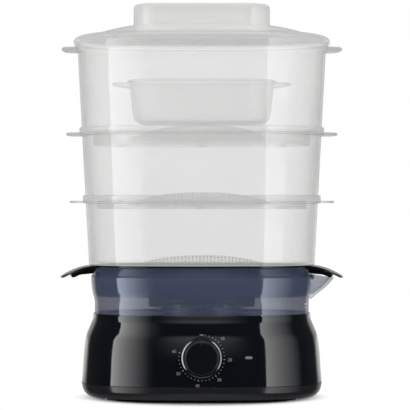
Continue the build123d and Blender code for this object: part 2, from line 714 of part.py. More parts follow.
def boil_dry_thermostat():
    """Round bimetal switch pressed up against the middle of the heater cup, with two blade tabs."""
    low = HEATER_UNDERSIDE - THERMOSTAT_THICK
    switch = disc(THERMOSTAT_RADIUS, low, HEATER_UNDERSIDE)
    half = THERMOSTAT_TAB / 2
    for side in (-1, 1):
        x = side * THERMOSTAT_RADIUS / 2
        switch += block(
            (x - THERMOSTAT_TAB_THICK / 2, -half, low - THERMOSTAT_TAB_DROP),
            (x + THERMOSTAT_TAB_THICK / 2, half, low),
        )
    return switch


def thermal_fuse():
    """Cartridge fuse lying against the cup beside the thermostat."""
    bar = Rot(0, 90, 0) * Cylinder(FUSE_RADIUS, FUSE_LENGTH)
    return Pos(0, FUSE_OFFSET_Y, HEATER_UNDERSIDE - FUSE_RADIUS) * bar


def steam_ring():
    """Lift-out sleeve round the heater, notched at the foot to let water in slowly."""
    low = TANK_FLOOR_TOP + SEAT_GAP
    top = low + STEAM_RING_HEIGHT
    outer = STEAM_RING_INNER_RADIUS + STEAM_RING_WALL
    section = [
        (STEAM_RING_INNER_RADIUS, low),
        (outer, low),
        (outer, top),
        (STEAM_RING_INNER_RADIUS - STEAM_RING_LIP, top),
        (STEAM_RING_INNER_RADIUS - STEAM_RING_LIP, top - STEAM_RING_WALL),
        (STEAM_RING_INNER_RADIUS, top - STEAM_RING_WALL),
    ]
    sleeve = turned(section)
    half = STEAM_RING_NOTCH_WIDTH / 2
    notch = block(
        (STEAM_RING_INNER_RADIUS - STEAM_RING_WALL, -half, low),
        (outer + STEAM_RING_WALL, half, low + STEAM_RING_NOTCH_HEIGHT),
    )
    for turn in range(STEAM_RING_NOTCHES):
        sleeve -= Rot(0, 0, turn * 360 / STEAM_RING_NOTCHES) * notch
    return sleeve


# ---------------------------------------------------------------- timer, knob and lamp
def spun(points):
    """Revolve a section of (radius, depth) points about the dial's axis, which runs along Y."""
    return Pos(0, 0, DIAL_HEIGHT) * revolve(polygon(*points), Axis.Y)


def timer_body():
    """Clockwork timer case, with the shaft's bearing, two screw holes and the bell post."""
    half = TIMER_WIDTH / 2
    back = TIMER_FRONT + TIMER_DEPTH
    body = block(
        (-half, TIMER_FRONT, DIAL_HEIGHT - TIMER_TALL / 2),
        (half, back, DIAL_HEIGHT + TIMER_TALL / 2),
    )
    body = chamfer(body.edges().filter_by(Axis.Y), TIMER_CORNER)
    bore_back = TIMER_FRONT + TIMER_BORE_DEPTH
    body -= rod(SHAFT_RADIUS + SHAFT_RUNNING_GAP, TIMER_FRONT, bore_back, 0, DIAL_HEIGHT)
    for side in (-1, 1):
        hole = TIMER_SCREW_RADIUS + SHAFT_RUNNING_GAP
        body -= rod(hole, TIMER_FRONT, bore_back, side * TIMER_SCREW_X, DIAL_HEIGHT)
    return body + rod(BELL_POST_RADIUS, back, back + BELL_DEPTH - BELL_SHEET, 0, DIAL_HEIGHT)


def timer_bell():
    """Thin steel bell cup on the post behind the timer."""
    mouth = TIMER_FRONT + TIMER_DEPTH + BELL_GAP
    crown = TIMER_FRONT + TIMER_DEPTH + BELL_DEPTH
    return spun([
        (0, crown),
        (BELL_RADIUS - BELL_DEPTH / 2, crown),
        (BELL_RADIUS, mouth),
        (BELL_RADIUS - BELL_SHEET, mouth),
        (BELL_RADIUS - BELL_DEPTH / 2 - BELL_SHEET / 2, crown - BELL_SHEET),
        (0, crown - BELL_SHEET),
    ])


def timer_screws():
    """Two screws through the dial seat into the timer, hidden behind the knob."""
    screws = []
    for side in (-1, 1):
        x = side * TIMER_SCREW_X
        head_front = DIAL_SEAT_FACE - TIMER_SCREW_HEAD_THICK
        shank = rod(TIMER_SCREW_RADIUS, DIAL_SEAT_FACE, DIAL_SEAT_FACE + TIMER_SCREW_LENGTH, x, DIAL_HEIGHT)
        head = rod(TIMER_SCREW_HEAD_RADIUS, head_front, DIAL_SEAT_FACE, x, DIAL_HEIGHT)
        screws.append(shank + head)
    return Compound(children=screws)


def timer_shaft():
    """Round shaft from the timer's bearing into the knob's hub, with a flat at the knob end."""
    front = KNOB_FRONT + KNOB_WALL + SEAT_GAP
    back = TIMER_FRONT + TIMER_BORE_DEPTH - SLIP_GAP
    shaft = rod(SHAFT_RADIUS, front, back, 0, DIAL_HEIGHT)
    flat = block(
        (-SHAFT_RADIUS, front, DIAL_HEIGHT + SHAFT_FLAT),
        (SHAFT_RADIUS, KNOB_BACK, DIAL_HEIGHT + SHAFT_RADIUS),
    )
    return shaft - flat


def timer_knob():
    """Hollow dial knob with a hub for the shaft and a pointer groove at the rim."""
    under_face = KNOB_FRONT + KNOB_WALL
    bore = SHAFT_RADIUS + SHAFT_RUNNING_GAP
    knob = spun([
        (0, KNOB_FRONT + KNOB_FACE_DISH),
        (KNOB_RADIUS - KNOB_EDGE_ROUND, KNOB_FRONT),
        (KNOB_RADIUS, KNOB_FRONT + KNOB_EDGE_ROUND),
        (KNOB_BASE_RADIUS, KNOB_BACK),
        (KNOB_BASE_RADIUS - KNOB_WALL, KNOB_BACK),
        (KNOB_RADIUS - KNOB_WALL, under_face),
        (KNOB_HUB_RADIUS, under_face),
        (KNOB_HUB_RADIUS, KNOB_BACK),
        (bore, KNOB_BACK),
        (bore, under_face),
        (0, under_face),
    ])
    tip = DIAL_HEIGHT + KNOB_RADIUS
    pointer = block(
        (-KNOB_POINTER_WIDTH / 2, KNOB_FRONT, tip - KNOB_POINTER_LENGTH),
        (KNOB_POINTER_WIDTH / 2, KNOB_FRONT + KNOB_POINTER_DEPTH, tip),
    )
    return knob - pointer


def knob_ring():
    """Bright trim ring round the foot of the knob."""
    front = KNOB_BACK - KNOB_RING_DEPTH
    inner = KNOB_BASE_RADIUS + LENS_GAP
    bevel = KNOB_RING_DEPTH / 3
    return spun([
        (inner, KNOB_BACK),
        (KNOB_RING_RADIUS, KNOB_BACK),
        (KNOB_RING_RADIUS, front + bevel),
        (KNOB_RING_RADIUS - bevel, front),
        (inner, front),
    ])


def lens_front():
    """Depth of the lamp lens's face, before it is swung round to its place."""
    return front_y(housing_offset(DIAL_HEIGHT)) - LENS_PROUD


def indicator_lens():
    """Clear pill-shaped light pipe through the wall, with a flange behind it."""
    inside = PANEL_INSIDE + LENS_FLANGE_GAP
    lens = pill(LENS_WIDTH, LENS_HEIGHT, lens_front(), inside)
    grown = 2 * LENS_FLANGE
    lens += pill(LENS_WIDTH + grown, LENS_HEIGHT + grown, inside, inside + LENS_FLANGE_THICK)
    return around_front(lens)


def lamp_holder():
    """Tube clipped on the lens flange, which holds the lamp."""
    front = PANEL_INSIDE + LENS_FLANGE_GAP + LENS_FLANGE_THICK
    wide = LAMP_RADIUS + LENS_GAP + LAMP_HOLDER_WALL
    holder = rod(wide, front, front + LAMP_LENGTH, 0, DIAL_HEIGHT)
    bore = rod(LAMP_RADIUS + LENS_GAP, front, front + LAMP_LENGTH, 0, DIAL_HEIGHT)
    return around_front(holder - bore)


def indicator_lamp():
    """Small neon bulb behind the lens."""
    front = PANEL_INSIDE + LENS_FLANGE_GAP + LENS_FLANGE_THICK + LENS_GAP
    return around_front(rod(LAMP_RADIUS, front, front + LAMP_LENGTH, 0, DIAL_HEIGHT))


def lead(*route):
    """One insulated wire along a route of runs joined by arcs."""
    path = FilletPolyline(*route, radius=LEAD_BEND)
    start = Plane(origin=path @ 0, z_dir=path % 0)
    return sweep(start * RegularPolygon(LEAD_RADIUS, LEAD_SIDES), path=path)


def internal_leads():
    """Wires from the terminal block to the timer and the element, and from the timer to the element."""
    pitch = TERMINAL_LENGTH / TERMINAL_POLES
    front = TERMINAL_Y - TERMINAL_WIDTH / 2
    low = COVER_BOTTOM + COVER_FLOOR + TERMINAL_HEIGHT / 2
    timer_back = TIMER_FRONT + TIMER_DEPTH
    pin_low = HEATER_UNDERSIDE - ELEMENT_TUBE_HEIGHT - ELEMENT_PIN_LENGTH
    left_x, left_y = element_end(-1)
    right_x, right_y = element_end(1)
    post = TIMER_WIDTH / 2 - LEAD_BEND / 2
    timer_low = DIAL_HEIGHT - TIMER_TALL / 4
    return Compound(children=[
        lead((-pitch, front, low), (-pitch, left_y, low), (left_x, left_y, low), (left_x, left_y, pin_low)),
        lead((pitch, front, low), (pitch, 0, low), (post, timer_back + LEAD_RUN, timer_low), (post, timer_back, timer_low)),
        lead((-post, timer_back, timer_low), (-post, timer_back + LEAD_RUN, timer_low),
             (right_x, right_y, timer_low), (right_x, right_y, pin_low)),
    ])


# ---------------------------------------------------------------- drip tray
def tray_grip():
    """Arched grip at the right-hand end of the tray: a thin curved lip over a thicker web."""
    root = PLAN_HALF_WIDTH + TRAY_RIM_OFFSET - TRAY_GRIP_THICK
    top = TRAY_TOP
    tip_x = PLAN_HALF_WIDTH + TRAY_GRIP_REACH
    tip_z = top - TRAY_GRIP_DROP
    mid_x = (root + tip_x) / 2
    mid_z = (top + tip_z) / 2 + TRAY_GRIP_ARCH
    thick = TRAY_GRIP_THICK
    back_x = tip_x - thick / 2
    upper = ThreePointArc((root, top), (mid_x, mid_z), (tip_x, tip_z))
    tip = Line((tip_x, tip_z), (back_x, tip_z - thick))
    lower = ThreePointArc((back_x, tip_z - thick), (mid_x - thick / 2, mid_z - thick), (root, top - thick))
    inner = Line((root, top - thick), (root, top))
    lip = extrude(Plane.XZ * make_face([upper, tip, lower, inner]), TRAY_GRIP_HALF_DEPTH, both=True)
    web_x = PLAN_HALF_WIDTH + TRAY_GRIP_BODY_REACH
    web_low = top - TRAY_GRIP_BODY_DROP
    web = polygon(
        (root, top - thick / 2),
        (mid_x, mid_z - thick / 2),
        (web_x, web_low + 2 * thick),
        (web_x - thick / 2, web_low),
        (web_x - 2 * thick, web_low + thick / 2),
        (mid_x - thick, top - TRAY_GRIP_BODY_HEIGHT - thick / 2),
        (root, top - TRAY_GRIP_BODY_HEIGHT),
    )
    body = extrude(Plane.XZ * web, TRAY_GRIP_BODY_HALF_DEPTH, both=True)
    width = 2 * tip_x
    outline = Pos(0, 0, web_low - thick) * extrude(
        RectangleRounded(width, 2 * TRAY_GRIP_HALF_DEPTH, TRAY_GRIP_ROUND), TRAY_DEPTH
    )
    outline &= slab(TRAY_GRIP_REACH, web_low - thick, top)
    keep_out = slab(TANK_COLLAR_OFFSET + TRAY_GRIP_GAP, web_low - thick, TANK_TOP + STACK_GAP)
    return ((lip + body) & outline) - keep_out


def drip_tray():
    """Shallow dish in the tank's mouth with a steam chimney in the middle and a grip at each end."""
    floor_low = TRAY_TOP - TRAY_DEPTH
    floor_top = floor_low + TRAY_FLOOR
    rim_low = TRAY_TOP - TRAY_RIM_THICK
    foot_offset = TRAY_WALL_OFFSET - TRAY_WALL_DRAFT
    join = foot_offset - 3 * TRAY_WALL
    section = polygon(
        (TRAY_RIM_OFFSET, rim_low),
        (TRAY_RIM_OFFSET, TRAY_TOP),
        (TRAY_WALL_OFFSET - TRAY_WALL, TRAY_TOP),
        (foot_offset - TRAY_WALL, floor_top),
        (join, floor_top),
        (join, floor_low),
        (foot_offset, floor_low),
        (TRAY_WALL_OFFSET, rim_low),
    )
    tray = ring(section) + slab(join, floor_low, floor_top)
    tray += both_sides(tray_grip())
    inner = CHIMNEY_RADIUS - CHIMNEY_WALL
    top = floor_top + CHIMNEY_HEIGHT
    tray += disc(CHIMNEY_RADIUS, floor_low, top)
    tray -= disc(inner, floor_low, top - CHIMNEY_ROOF)
    half = CHIMNEY_WINDOW_WIDTH / 2
    sill = floor_top + CHIMNEY_WINDOW_SILL
    window = block(
        (inner - CHIMNEY_WALL, -half, sill),
        (CHIMNEY_RADIUS + CHIMNEY_WALL, half, sill + CHIMNEY_WINDOW_HEIGHT),
    )
    for turn in range(CHIMNEY_WINDOWS):
        tray -= Rot(0, 0, turn * 360 / CHIMNEY_WINDOWS) * window
    return tray


# ---------------------------------------------------------------- bowls and floors
def wall_offset(height):
    """Offset of the bowls' outer faces, which continue one draft all the way up the stack."""
    return BOWL_FOOT_OFFSET + math.tan(math.radians(BOWL_DRAFT)) * (height - BOWL_1_SEAT)


def bowl(seat, tall, well):
    """Open-bottomed bowl: drafted wall, stepped lip that takes the next bowl, a well for its floor, two tabs."""
    ledge = seat + tall
    top = ledge + LIP_HEIGHT
    lip = wall_offset(ledge) + LIP_REACH
    foot = wall_offset(seat)
    inside = foot - WELL_INSET
    section = polygon(
        (foot, seat),
        (wall_offset(ledge - BOWL_WALL), ledge - BOWL_WALL),
        (lip, ledge - BOWL_WALL),
        (lip, top),
        (lip - LIP_WALL, top),
        (lip - LIP_WALL, ledge),
        (wall_offset(ledge) - BOWL_WALL, ledge),
        (foot - BOWL_WALL, seat + BOWL_WALL),
        (inside - BOWL_WALL, seat + BOWL_WALL),
        (inside - BOWL_WALL, seat - well),
        (inside, seat - well),
        (inside, seat),
    )
    vessel = ring(section)
    tab_low = ledge - BOWL_WALL + TAB_RISE
    root = lip - LIP_WALL / 2
    vessel += side_tabs(wall_offset(ledge) + TAB_REACH, root, TAB_HALF_DEPTH, TAB_ROUND, tab_low, TAB_THICK)
    low = seat - well
    lug = block((-LUG_REACH, -LUG_WIDTH / 2, low), (BOWL_WALL / 2, LUG_WIDTH / 2, low + LUG_THICK))
    for x, y, facing in lug_places(inside - BOWL_WALL):
        vessel += Pos(x, y) * Rot(0, 0, facing) * lug
    return vessel


def lug_places(offset):
    """Places and facings of the floor lugs on the well's inner face: each side and each corner has one."""
    corner_x, corner_y = corner_centre()
    diagonal = (PLAN_CORNER_RADIUS + offset) * math.sqrt(0.5)
    places = [(PLAN_HALF_WIDTH + offset, 0, 0), (0, PLAN_HALF_DEPTH + offset, 90)]
    places += [(-x, -y, facing + 180) for x, y, facing in places]
    for x, y in four_corners(corner_x + diagonal, corner_y + diagonal):
        places.append((x, y, math.degrees(math.atan2(math.copysign(1, y), math.copysign(1, x)))))
    return places


def side_tabs(reach, root, half_depth, corner, low, thick):
    """Two flat finger tabs with round corners, at the ends of a rim."""
    width = 2 * (PLAN_HALF_WIDTH + reach)
    bar = Pos(0, 0, low) * extrude(RectangleRounded(width, 2 * half_depth, corner), thick)
    return (bar & slab(reach, low, low + thick)) - slab(root, low, low + thick)


def hole_places():
    """Rings of holes round the middle of a floor: one, then six more in each ring outwards."""
    places = [(0.0, 0.0)]
    for circle in range(1, FLOOR_HOLE_RINGS + 1):
        count = 6 * circle
        for i in range(count):
            angle = 2 * math.pi * i / count
            reach = circle * FLOOR_HOLE_PITCH
            places.append((reach * math.cos(angle), reach * math.sin(angle)))
    return places


def perforated_floor(seat, well):
    """Lift-out floor on the lugs of a bowl's well: flat border and a raised, perforated middle."""
    edge = wall_offset(seat) - WELL_INSET - BOWL_WALL - SLIP_GAP
    low = seat - well + LUG_THICK + SEAT_GAP
    top = low + FLOOR_THICK
    crest = seat + FLOOR_CREST
    hill = [
        (FLOOR_DOME_RADIUS - FLOOR_THICK, low),
        (FLOOR_DOME_RADIUS, low),
        (FLOOR_DOME_RADIUS, top),
        (FLOOR_CREST_RADIUS, crest),
        (0, crest),
        (0, crest - FLOOR_THICK),
        (FLOOR_CREST_RADIUS, crest - FLOOR_THICK),
    ]
    plate = slab(edge, low, top) - disc(FLOOR_DOME_RADIUS - FLOOR_THICK / 2, low, top) + turned(hill)
    drill = extrude(RegularPolygon(FLOOR_HOLE_RADIUS, 6), crest - low)
    drills = [Pos(x, y, low) * drill for x, y in hole_places()]
    return plate - drills


# ---------------------------------------------------------------- soup bowl and lid
def soup_bowl():
    """Closed bowl for rice or soup, standing on the top floor's crest."""
    low = BOWL_3_SEAT + FLOOR_CREST + STACK_GAP
    top = low + SOUP_HEIGHT
    join = SOUP_BOTTOM_OFFSET - 2 * SOUP_WALL
    section = polygon(
        (join, low),
        (SOUP_BOTTOM_OFFSET, low),
        (SOUP_TOP_OFFSET, top - SOUP_RIM_THICK),
        (SOUP_TOP_OFFSET + SOUP_RIM_REACH, top - SOUP_RIM_THICK),
        (SOUP_TOP_OFFSET + SOUP_RIM_REACH, top),
        (SOUP_TOP_OFFSET - SOUP_WALL, top),
        (SOUP_BOTTOM_OFFSET - SOUP_WALL, low + SOUP_WALL),
        (join, low + SOUP_WALL),
    )
    vessel = ring(section) + slab(join, low, low + SOUP_WALL)
    reach = SOUP_TOP_OFFSET + SOUP_TAB_REACH
    root = SOUP_TOP_OFFSET - SOUP_WALL / 2
    return vessel + side_tabs(
        reach, root, SOUP_TAB_HALF_DEPTH, SOUP_TAB_ROUND, top - SOUP_TAB_DROP, SOUP_TAB_THICK
    )


def lid():
    """Lid with a skirt over the top bowl's lip, a locating ring inside it, a low dome and a hollow cap to hold."""
    ledge = LID_SEAT - LIP_HEIGHT - STACK_GAP
    lip = wall_offset(ledge) + LIP_REACH
    skirt_in = lip + SLIP_GAP
    skirt_out = skirt_in + LID_SKIRT_WALL
    plug_out = lip - LIP_WALL - SLIP_GAP
    deck = LID_SEAT + LID_DECK_THICK
    edge = skirt_out - LID_EDGE_ROUND
    break_out = edge - LID_BREAK_INSET
    crown = deck + LID_CROWN_RISE
    section = polygon(
        (skirt_out, LID_SEAT - LID_SKIRT_DROP),
        (skirt_out, deck - LID_EDGE_ROUND),
        (edge, deck),
        (break_out, deck),
        (LID_HAUNCH_OFFSET, deck + LID_HAUNCH_RISE),
        (LID_SHOULDER_OFFSET, deck + LID_SHOULDER_RISE),
        (LID_CROWN_OFFSET, crown),
        (LID_CROWN_OFFSET, crown - LID_SHEET),
        (LID_SHOULDER_OFFSET, deck + LID_SHOULDER_RISE - LID_SHEET),
        (LID_HAUNCH_OFFSET, deck + LID_HAUNCH_RISE - LID_SHEET),
        (plug_out - LID_PLUG_WALL, deck - LID_SHEET),
        (plug_out - LID_PLUG_WALL, LID_SEAT - LID_PLUG_DEPTH),
        (plug_out, LID_SEAT - LID_PLUG_DEPTH),
        (plug_out, LID_SEAT),
        (skirt_in, LID_SEAT),
        (skirt_in, LID_SEAT - LID_SKIRT_DROP),
    )
    cover = ring(section) + slab(LID_CROWN_OFFSET, crown - LID_SHEET, crown)
    cap = Pos(0, 0, crown) * extrude(RectangleRounded(CAP_WIDTH, CAP_DEPTH, CAP_CORNER), CAP_RISE)
    cap = chamfer(cap.edges().group_by(Axis.Z)[-1], CAP_ROUND)
    wall = 2 * LID_SHEET
    outline = RectangleRounded(CAP_WIDTH - wall, CAP_DEPTH - wall, CAP_CORNER - LID_SHEET)
    hollow = Pos(0, 0, crown - LID_SHEET) * extrude(outline, CAP_RISE)
    return cover + cap - hollow


# ---------------------------------------------------------------- output
PIECES = {
    "bottom_cover": bottom_cover,
    "feet": feet,
    "case_screws": case_screws,
    "base_housing": base_housing,
    "cord_inlet": cord_inlet,
    "terminal_block": terminal_block,
    "water_tank": water_tank,
    "heater_cup": heater_cup,
    "heater_seal": heater_seal,
    "heater_clamp": heater_clamp,
    "heater_screws": heater_screws,
    "heating_element": heating_element,
    "boil_dry_thermostat": boil_dry_thermostat,
    "thermal_fuse": thermal_fuse,
    "steam_ring": steam_ring,
    "timer_body": timer_body,
    "timer_bell": timer_bell,
    "timer_screws": timer_screws,
    "timer_shaft": timer_shaft,
    "timer_knob": timer_knob,
    "knob_ring": knob_ring,
    "indicator_lens": indicator_lens,
    "lamp_holder": lamp_holder,
    "indicator_lamp": indicator_lamp,
    "internal_leads": internal_leads,
    "drip_tray": drip_tray,
    "bowl_1": lambda: bowl(BOWL_1_SEAT, BOWL_1_HEIGHT, BOWL_1_WELL),
    "floor_1": lambda: perforated_floor(BOWL_1_SEAT, BOWL_1_WELL),
    "bowl_2": lambda: bowl(BOWL_2_SEAT, BOWL_2_HEIGHT, BOWL_2_WELL),
    "floor_2": lambda: perforated_floor(BOWL_2_SEAT, BOWL_2_WELL),
    "bowl_3": lambda: bowl(BOWL_3_SEAT, BOWL_3_HEIGHT, BOWL_3_WELL),
    "floor_3": lambda: perforated_floor(BOWL_3_SEAT, BOWL_3_WELL),
    "soup_bowl": soup_bowl,
    "lid": lid,
}

os.makedirs("parts", exist_ok=True)
for name, make in PIECES.items():
    export_step(make(), f"parts/{name}.step")
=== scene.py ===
"""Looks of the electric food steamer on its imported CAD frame. Lengths in the helpers are millimetres."""

import math

import bmesh
import bpy
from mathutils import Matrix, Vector, geometry


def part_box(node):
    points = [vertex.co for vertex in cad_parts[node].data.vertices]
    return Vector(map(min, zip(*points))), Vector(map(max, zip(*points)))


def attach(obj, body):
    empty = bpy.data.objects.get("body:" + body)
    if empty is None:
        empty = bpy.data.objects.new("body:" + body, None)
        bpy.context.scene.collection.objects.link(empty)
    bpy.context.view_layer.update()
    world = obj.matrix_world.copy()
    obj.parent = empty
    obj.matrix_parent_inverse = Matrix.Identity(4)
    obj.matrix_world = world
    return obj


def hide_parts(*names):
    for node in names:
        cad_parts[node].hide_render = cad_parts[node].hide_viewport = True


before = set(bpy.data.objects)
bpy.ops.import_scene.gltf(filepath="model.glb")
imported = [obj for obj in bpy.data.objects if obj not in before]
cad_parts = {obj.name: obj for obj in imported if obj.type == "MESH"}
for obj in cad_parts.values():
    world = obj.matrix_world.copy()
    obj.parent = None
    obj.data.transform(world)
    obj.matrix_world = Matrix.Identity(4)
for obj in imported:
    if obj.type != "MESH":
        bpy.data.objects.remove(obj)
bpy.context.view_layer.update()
MM = 0.001

# -------- plan: eight tangent arcs
HALF_WIDTH, HALF_DEPTH = 120.0, 106.8
FRONT_RADIUS, SIDE_RADIUS, CORNER_RADIUS = 300.0, 200.0, 80.0
SIDE_ARC_X, BACK_ARC_Y = HALF_WIDTH - SIDE_RADIUS, HALF_DEPTH - FRONT_RADIUS
CORNER_STEPS, FACE_STEPS = 22, 10


def corner_centre():
    """Centre of the back right corner's arc, which touches the side's arc and the back's from inside."""
    to_back = FRONT_RADIUS - CORNER_RADIUS
    to_side = SIDE_RADIUS - CORNER_RADIUS
    apart = math.hypot(SIDE_ARC_X, BACK_ARC_Y)
    along = (to_side**2 - to_back**2 + apart**2) / (2 * apart)
    across = math.sqrt(to_side**2 - along**2)
    ux, uy = -SIDE_ARC_X / apart, BACK_ARC_Y / apart
    return SIDE_ARC_X + along * ux - across * uy, along * uy + across * ux


CORNER_X, CORNER_Y = corner_centre()


def plan_stations():
    """(centre x, centre y, radius, cos, sin, arc number, share of the arc) all round the plan."""
    side = math.atan2(CORNER_Y, CORNER_X - SIDE_ARC_X)
    back = math.atan2(CORNER_Y - BACK_ARC_Y, CORNER_X)
    arcs = [
        (SIDE_ARC_X, 0, SIDE_RADIUS, -side, side),
        (CORNER_X, CORNER_Y, CORNER_RADIUS, side, back),
        (0, BACK_ARC_Y, FRONT_RADIUS, back, math.pi - back),
        (-CORNER_X, CORNER_Y, CORNER_RADIUS, math.pi - back, math.pi - side),
    ]
    arcs += [(-x, -y, r, a + math.pi, b + math.pi) for x, y, r, a, b in arcs]
    out = []
    for k, (x, y, r, a, b) in enumerate(arcs):
        steps = CORNER_STEPS if r == CORNER_RADIUS else FACE_STEPS
        for i in range(steps):
            t = i / steps
            angle = a + (b - a) * t
            out.append((x, y, r, math.cos(angle), math.sin(angle), k, t))
    return out


STATIONS = plan_stations()
TURNS = [math.atan2(y + r * s, x + r * c) for x, y, r, c, s, k, t in STATIONS]


def oval(offset, z):
    """The plan's outline at a height, grown by an offset."""
    return [(x + (r + offset) * c, y + (r + offset) * s, z) for x, y, r, c, s, k, t in STATIONS]


def circle(radius, z, x=0.0, y=0.0):
    """A circle with as many points as the plan's outline, so that the two can be lofted together."""
    return [(x + radius * math.cos(a), y + radius * math.sin(a), z) for a in TURNS]


def rounded_box(width, depth, corner, z):
    """Rounded rectangle on the same stations as the plan."""
    w, d = width / 2, depth / 2
    hx, hy = w - corner, d - corner
    corners = {1: (hx, hy, 0), 3: (-hx, hy, 90), 5: (-hx, -hy, 180), 7: (hx, -hy, 270)}
    faces = {0: ((w, -hy), (w, hy)), 2: ((hx, d), (-hx, d)), 4: ((-w, hy), (-w, -hy)), 6: ((-hx, -d), (hx, -d))}
    out = []
    for x, y, r, c, s, k, t in STATIONS:
        if k in corners:
            cx, cy, start = corners[k]
            angle = math.radians(start + 90 * t)
            out.append((cx + corner * math.cos(angle), cy + corner * math.sin(angle), z))
        else:
            (ax, ay), (bx, by) = faces[k]
            out.append((ax + (bx - ax) * t, ay + (by - ay) * t, z))
    return out


def turned(outline, angle, z, x=0.0, y=0.0):
    """A flat outline turned about Z and moved to a place."""
    c, s = math.cos(angle), math.sin(angle)
    return [(x + c * u - s * v, y + s * u + c * v, z) for u, v in outline]


def front_y(x, offset):
    """Y of the front face at an X, on the front arc or the corner arc."""
    end = FRONT_RADIUS * CORNER_X / (FRONT_RADIUS - CORNER_RADIUS)
    if abs(x) < end:
        return -BACK_ARC_Y - math.sqrt((FRONT_RADIUS + offset) ** 2 - x * x)
    dx = abs(x) - CORNER_X
    return -CORNER_Y - math.sqrt(max((CORNER_RADIUS + offset) ** 2 - dx * dx, 0))


def side_x(offset, y):
    """X of the right side at a depth, on the side arc or the corner arc."""
    if abs(y) > CORNER_Y * SIDE_RADIUS / (SIDE_RADIUS - CORNER_RADIUS):
        dy = abs(y) - CORNER_Y
        return CORNER_X + math.sqrt(max((CORNER_RADIUS + offset) ** 2 - dy * dy, 0))
    return SIDE_ARC_X + math.sqrt((SIDE_RADIUS + offset) ** 2 - y * y)


def line_at(points, x):
    """Second value of a broken line at its first value."""
    if x <= points[0][0]:
        return points[0][1]
    for (a, p), (b, q) in zip(points, points[1:]):
        if x <= b:
            return p + (q - p) * (x - a) / (b - a)
    return points[-1][1]


def corner_shrink(near, corner):
    """How far a rounded corner draws back at a distance from the end."""
    return corner - math.sqrt(max(corner**2 - (corner - min(near, corner)) ** 2, 0.0))


# -------- mesh helpers
def new_object(name, verts, faces, material, smooth=40):
    """Object from vertices in millimetres, with doubled points merged and its faces turned outwards."""
    mesh = bpy.data.meshes.new(name)
    mesh.from_pydata([(x * MM, y * MM, z * MM) for x, y, z in verts], [], faces)
    bm = bmesh.new()
    bm.from_mesh(mesh)
    bmesh.ops.remove_doubles(bm, verts=bm.verts, dist=1e-6)
    bmesh.ops.recalc_face_normals(bm, faces=bm.faces)
    bm.to_mesh(mesh)
    bm.free()
    obj = bpy.data.objects.new(name, mesh)
    bpy.context.collection.objects.link(obj)
    soften(obj, smooth)
    if material:
        mesh.materials.append(material)
    return obj


def soften(obj, angle):
    """Smooth shading that stays sharp where the surface turns by more than an angle."""
    mesh = obj.data
    mesh.polygons.foreach_set("use_smooth", [True] * len(mesh.polygons))
    mesh.set_sharp_from_angle(angle=math.radians(angle))
    mesh.update()


def loft_data(loops, closed):
    """Vertices and faces of a skin through loops of equal length, which ends in fans unless it is closed."""
    n = len(loops[0])
    verts = [p for loop in loops for p in loop]
    faces = []
    for j in range(len(loops) if closed else len(loops) - 1):
        a, b = j * n, ((j + 1) % len(loops)) * n
        for i in range(n):
            k = (i + 1) % n
            faces.append((a + i, a + k, b + k, b + i))
    if not closed:
        for start in (0, (len(loops) - 1) * n):
            middle = tuple(sum(p[axis] for p in verts[start:start + n]) / n for axis in range(3))
            add_fan(verts, faces, start, n, middle)
    return verts, faces


def add_fan(verts, faces, start, n, middle):
    """Close a loop of a mesh's vertices with triangles round a middle point."""
    verts.append(middle)
    for i in range(n):
        faces.append((start + i, start + (i + 1) % n, len(verts) - 1))


def loft(name, loops, material=None, closed=False, smooth=40):
    """A skin through loops of equal length, as an object."""
    verts, faces = loft_data(loops, closed)
    return new_object(name, verts, faces, material, smooth)


def add_prism(verts, faces, lower, upper):
    """Add a closed prism between two loops of equal length to a mesh's lists."""
    n, start = len(lower), len(verts)
    verts += lower + upper
    faces.append(tuple(range(start, start + n)))
    faces.append(tuple(range(start + 2 * n - 1, start + n - 1, -1)))
    for i in range(n):
        k = (i + 1) % n
        faces.append((start + i, start + k, start + n + k, start + n + i))


CURVE_STEPS, EDGE_STEPS, DIAL_STEPS = 4, 6, 96
STRAIGHT = math.radians(176)


def fillet(points, closed=True):
    """Round the corners of a section of (offset, height, radius) points; an open one keeps its ends."""
    out = []
    n = len(points)
    for i, (offset, height, radius) in enumerate(points):
        a, b, c = Vector(points[i - 1][:2]), Vector((offset, height)), Vector(points[(i + 1) % n][:2])
        u, v = a - b, c - b
        turn = u.angle(v, math.pi)
        if radius <= 0 or turn > STRAIGHT or not closed and i in (0, n - 1):
            out.append((offset, height))
            continue
        reach = min(radius / math.tan(turn / 2), u.length * 0.48, v.length * 0.48)
        s, e = b + u.normalized() * reach, b + v.normalized() * reach
        for k in range(CURVE_STEPS + 1):
            t = k / CURVE_STEPS
            q = s * (1 - t) ** 2 + b * (2 * t * (1 - t)) + e * t**2
            out.append((q.x, q.y))
    return out


def spline(points):
    """Catmull-Rom line through (offset, height) points."""
    pts = [points[0]] + list(points) + [points[-1]]
    out = []
    for i in range(1, len(pts) - 2):
        p0, p1, p2, p3 = (Vector(p) for p in pts[i - 1:i + 3])
        for k in range(CURVE_STEPS):
            t = k / CURVE_STEPS
            q = 0.5 * ((2 * p1) + (p2 - p0) * t + (2 * p0 - 5 * p1 + 4 * p2 - p3) * t**2
                       + (3 * p1 - p0 - 3 * p2 + p3) * t**3)
            out.append((q.x, q.y))
    out.append(tuple(points[-1]))
    return out


def cut(obj, cutter, operation="DIFFERENCE", smooth=40):
    """Apply a boolean with another mesh, and delete that mesh."""
    bpy.context.view_layer.objects.active = obj
    mod = obj.modifiers.new("cut", "BOOLEAN")
    mod.operation, mod.object, mod.solver = operation, cutter, "EXACT"
    depsgraph = bpy.context.evaluated_depsgraph_get()
    mesh = bpy.data.meshes.new_from_object(obj.evaluated_get(depsgraph))
    obj.modifiers.clear()
    old = obj.data
    obj.data = mesh
    mesh.name = old.name
    bpy.data.meshes.remove(old)
    bpy.data.objects.remove(cutter)
    soften(obj, smooth)


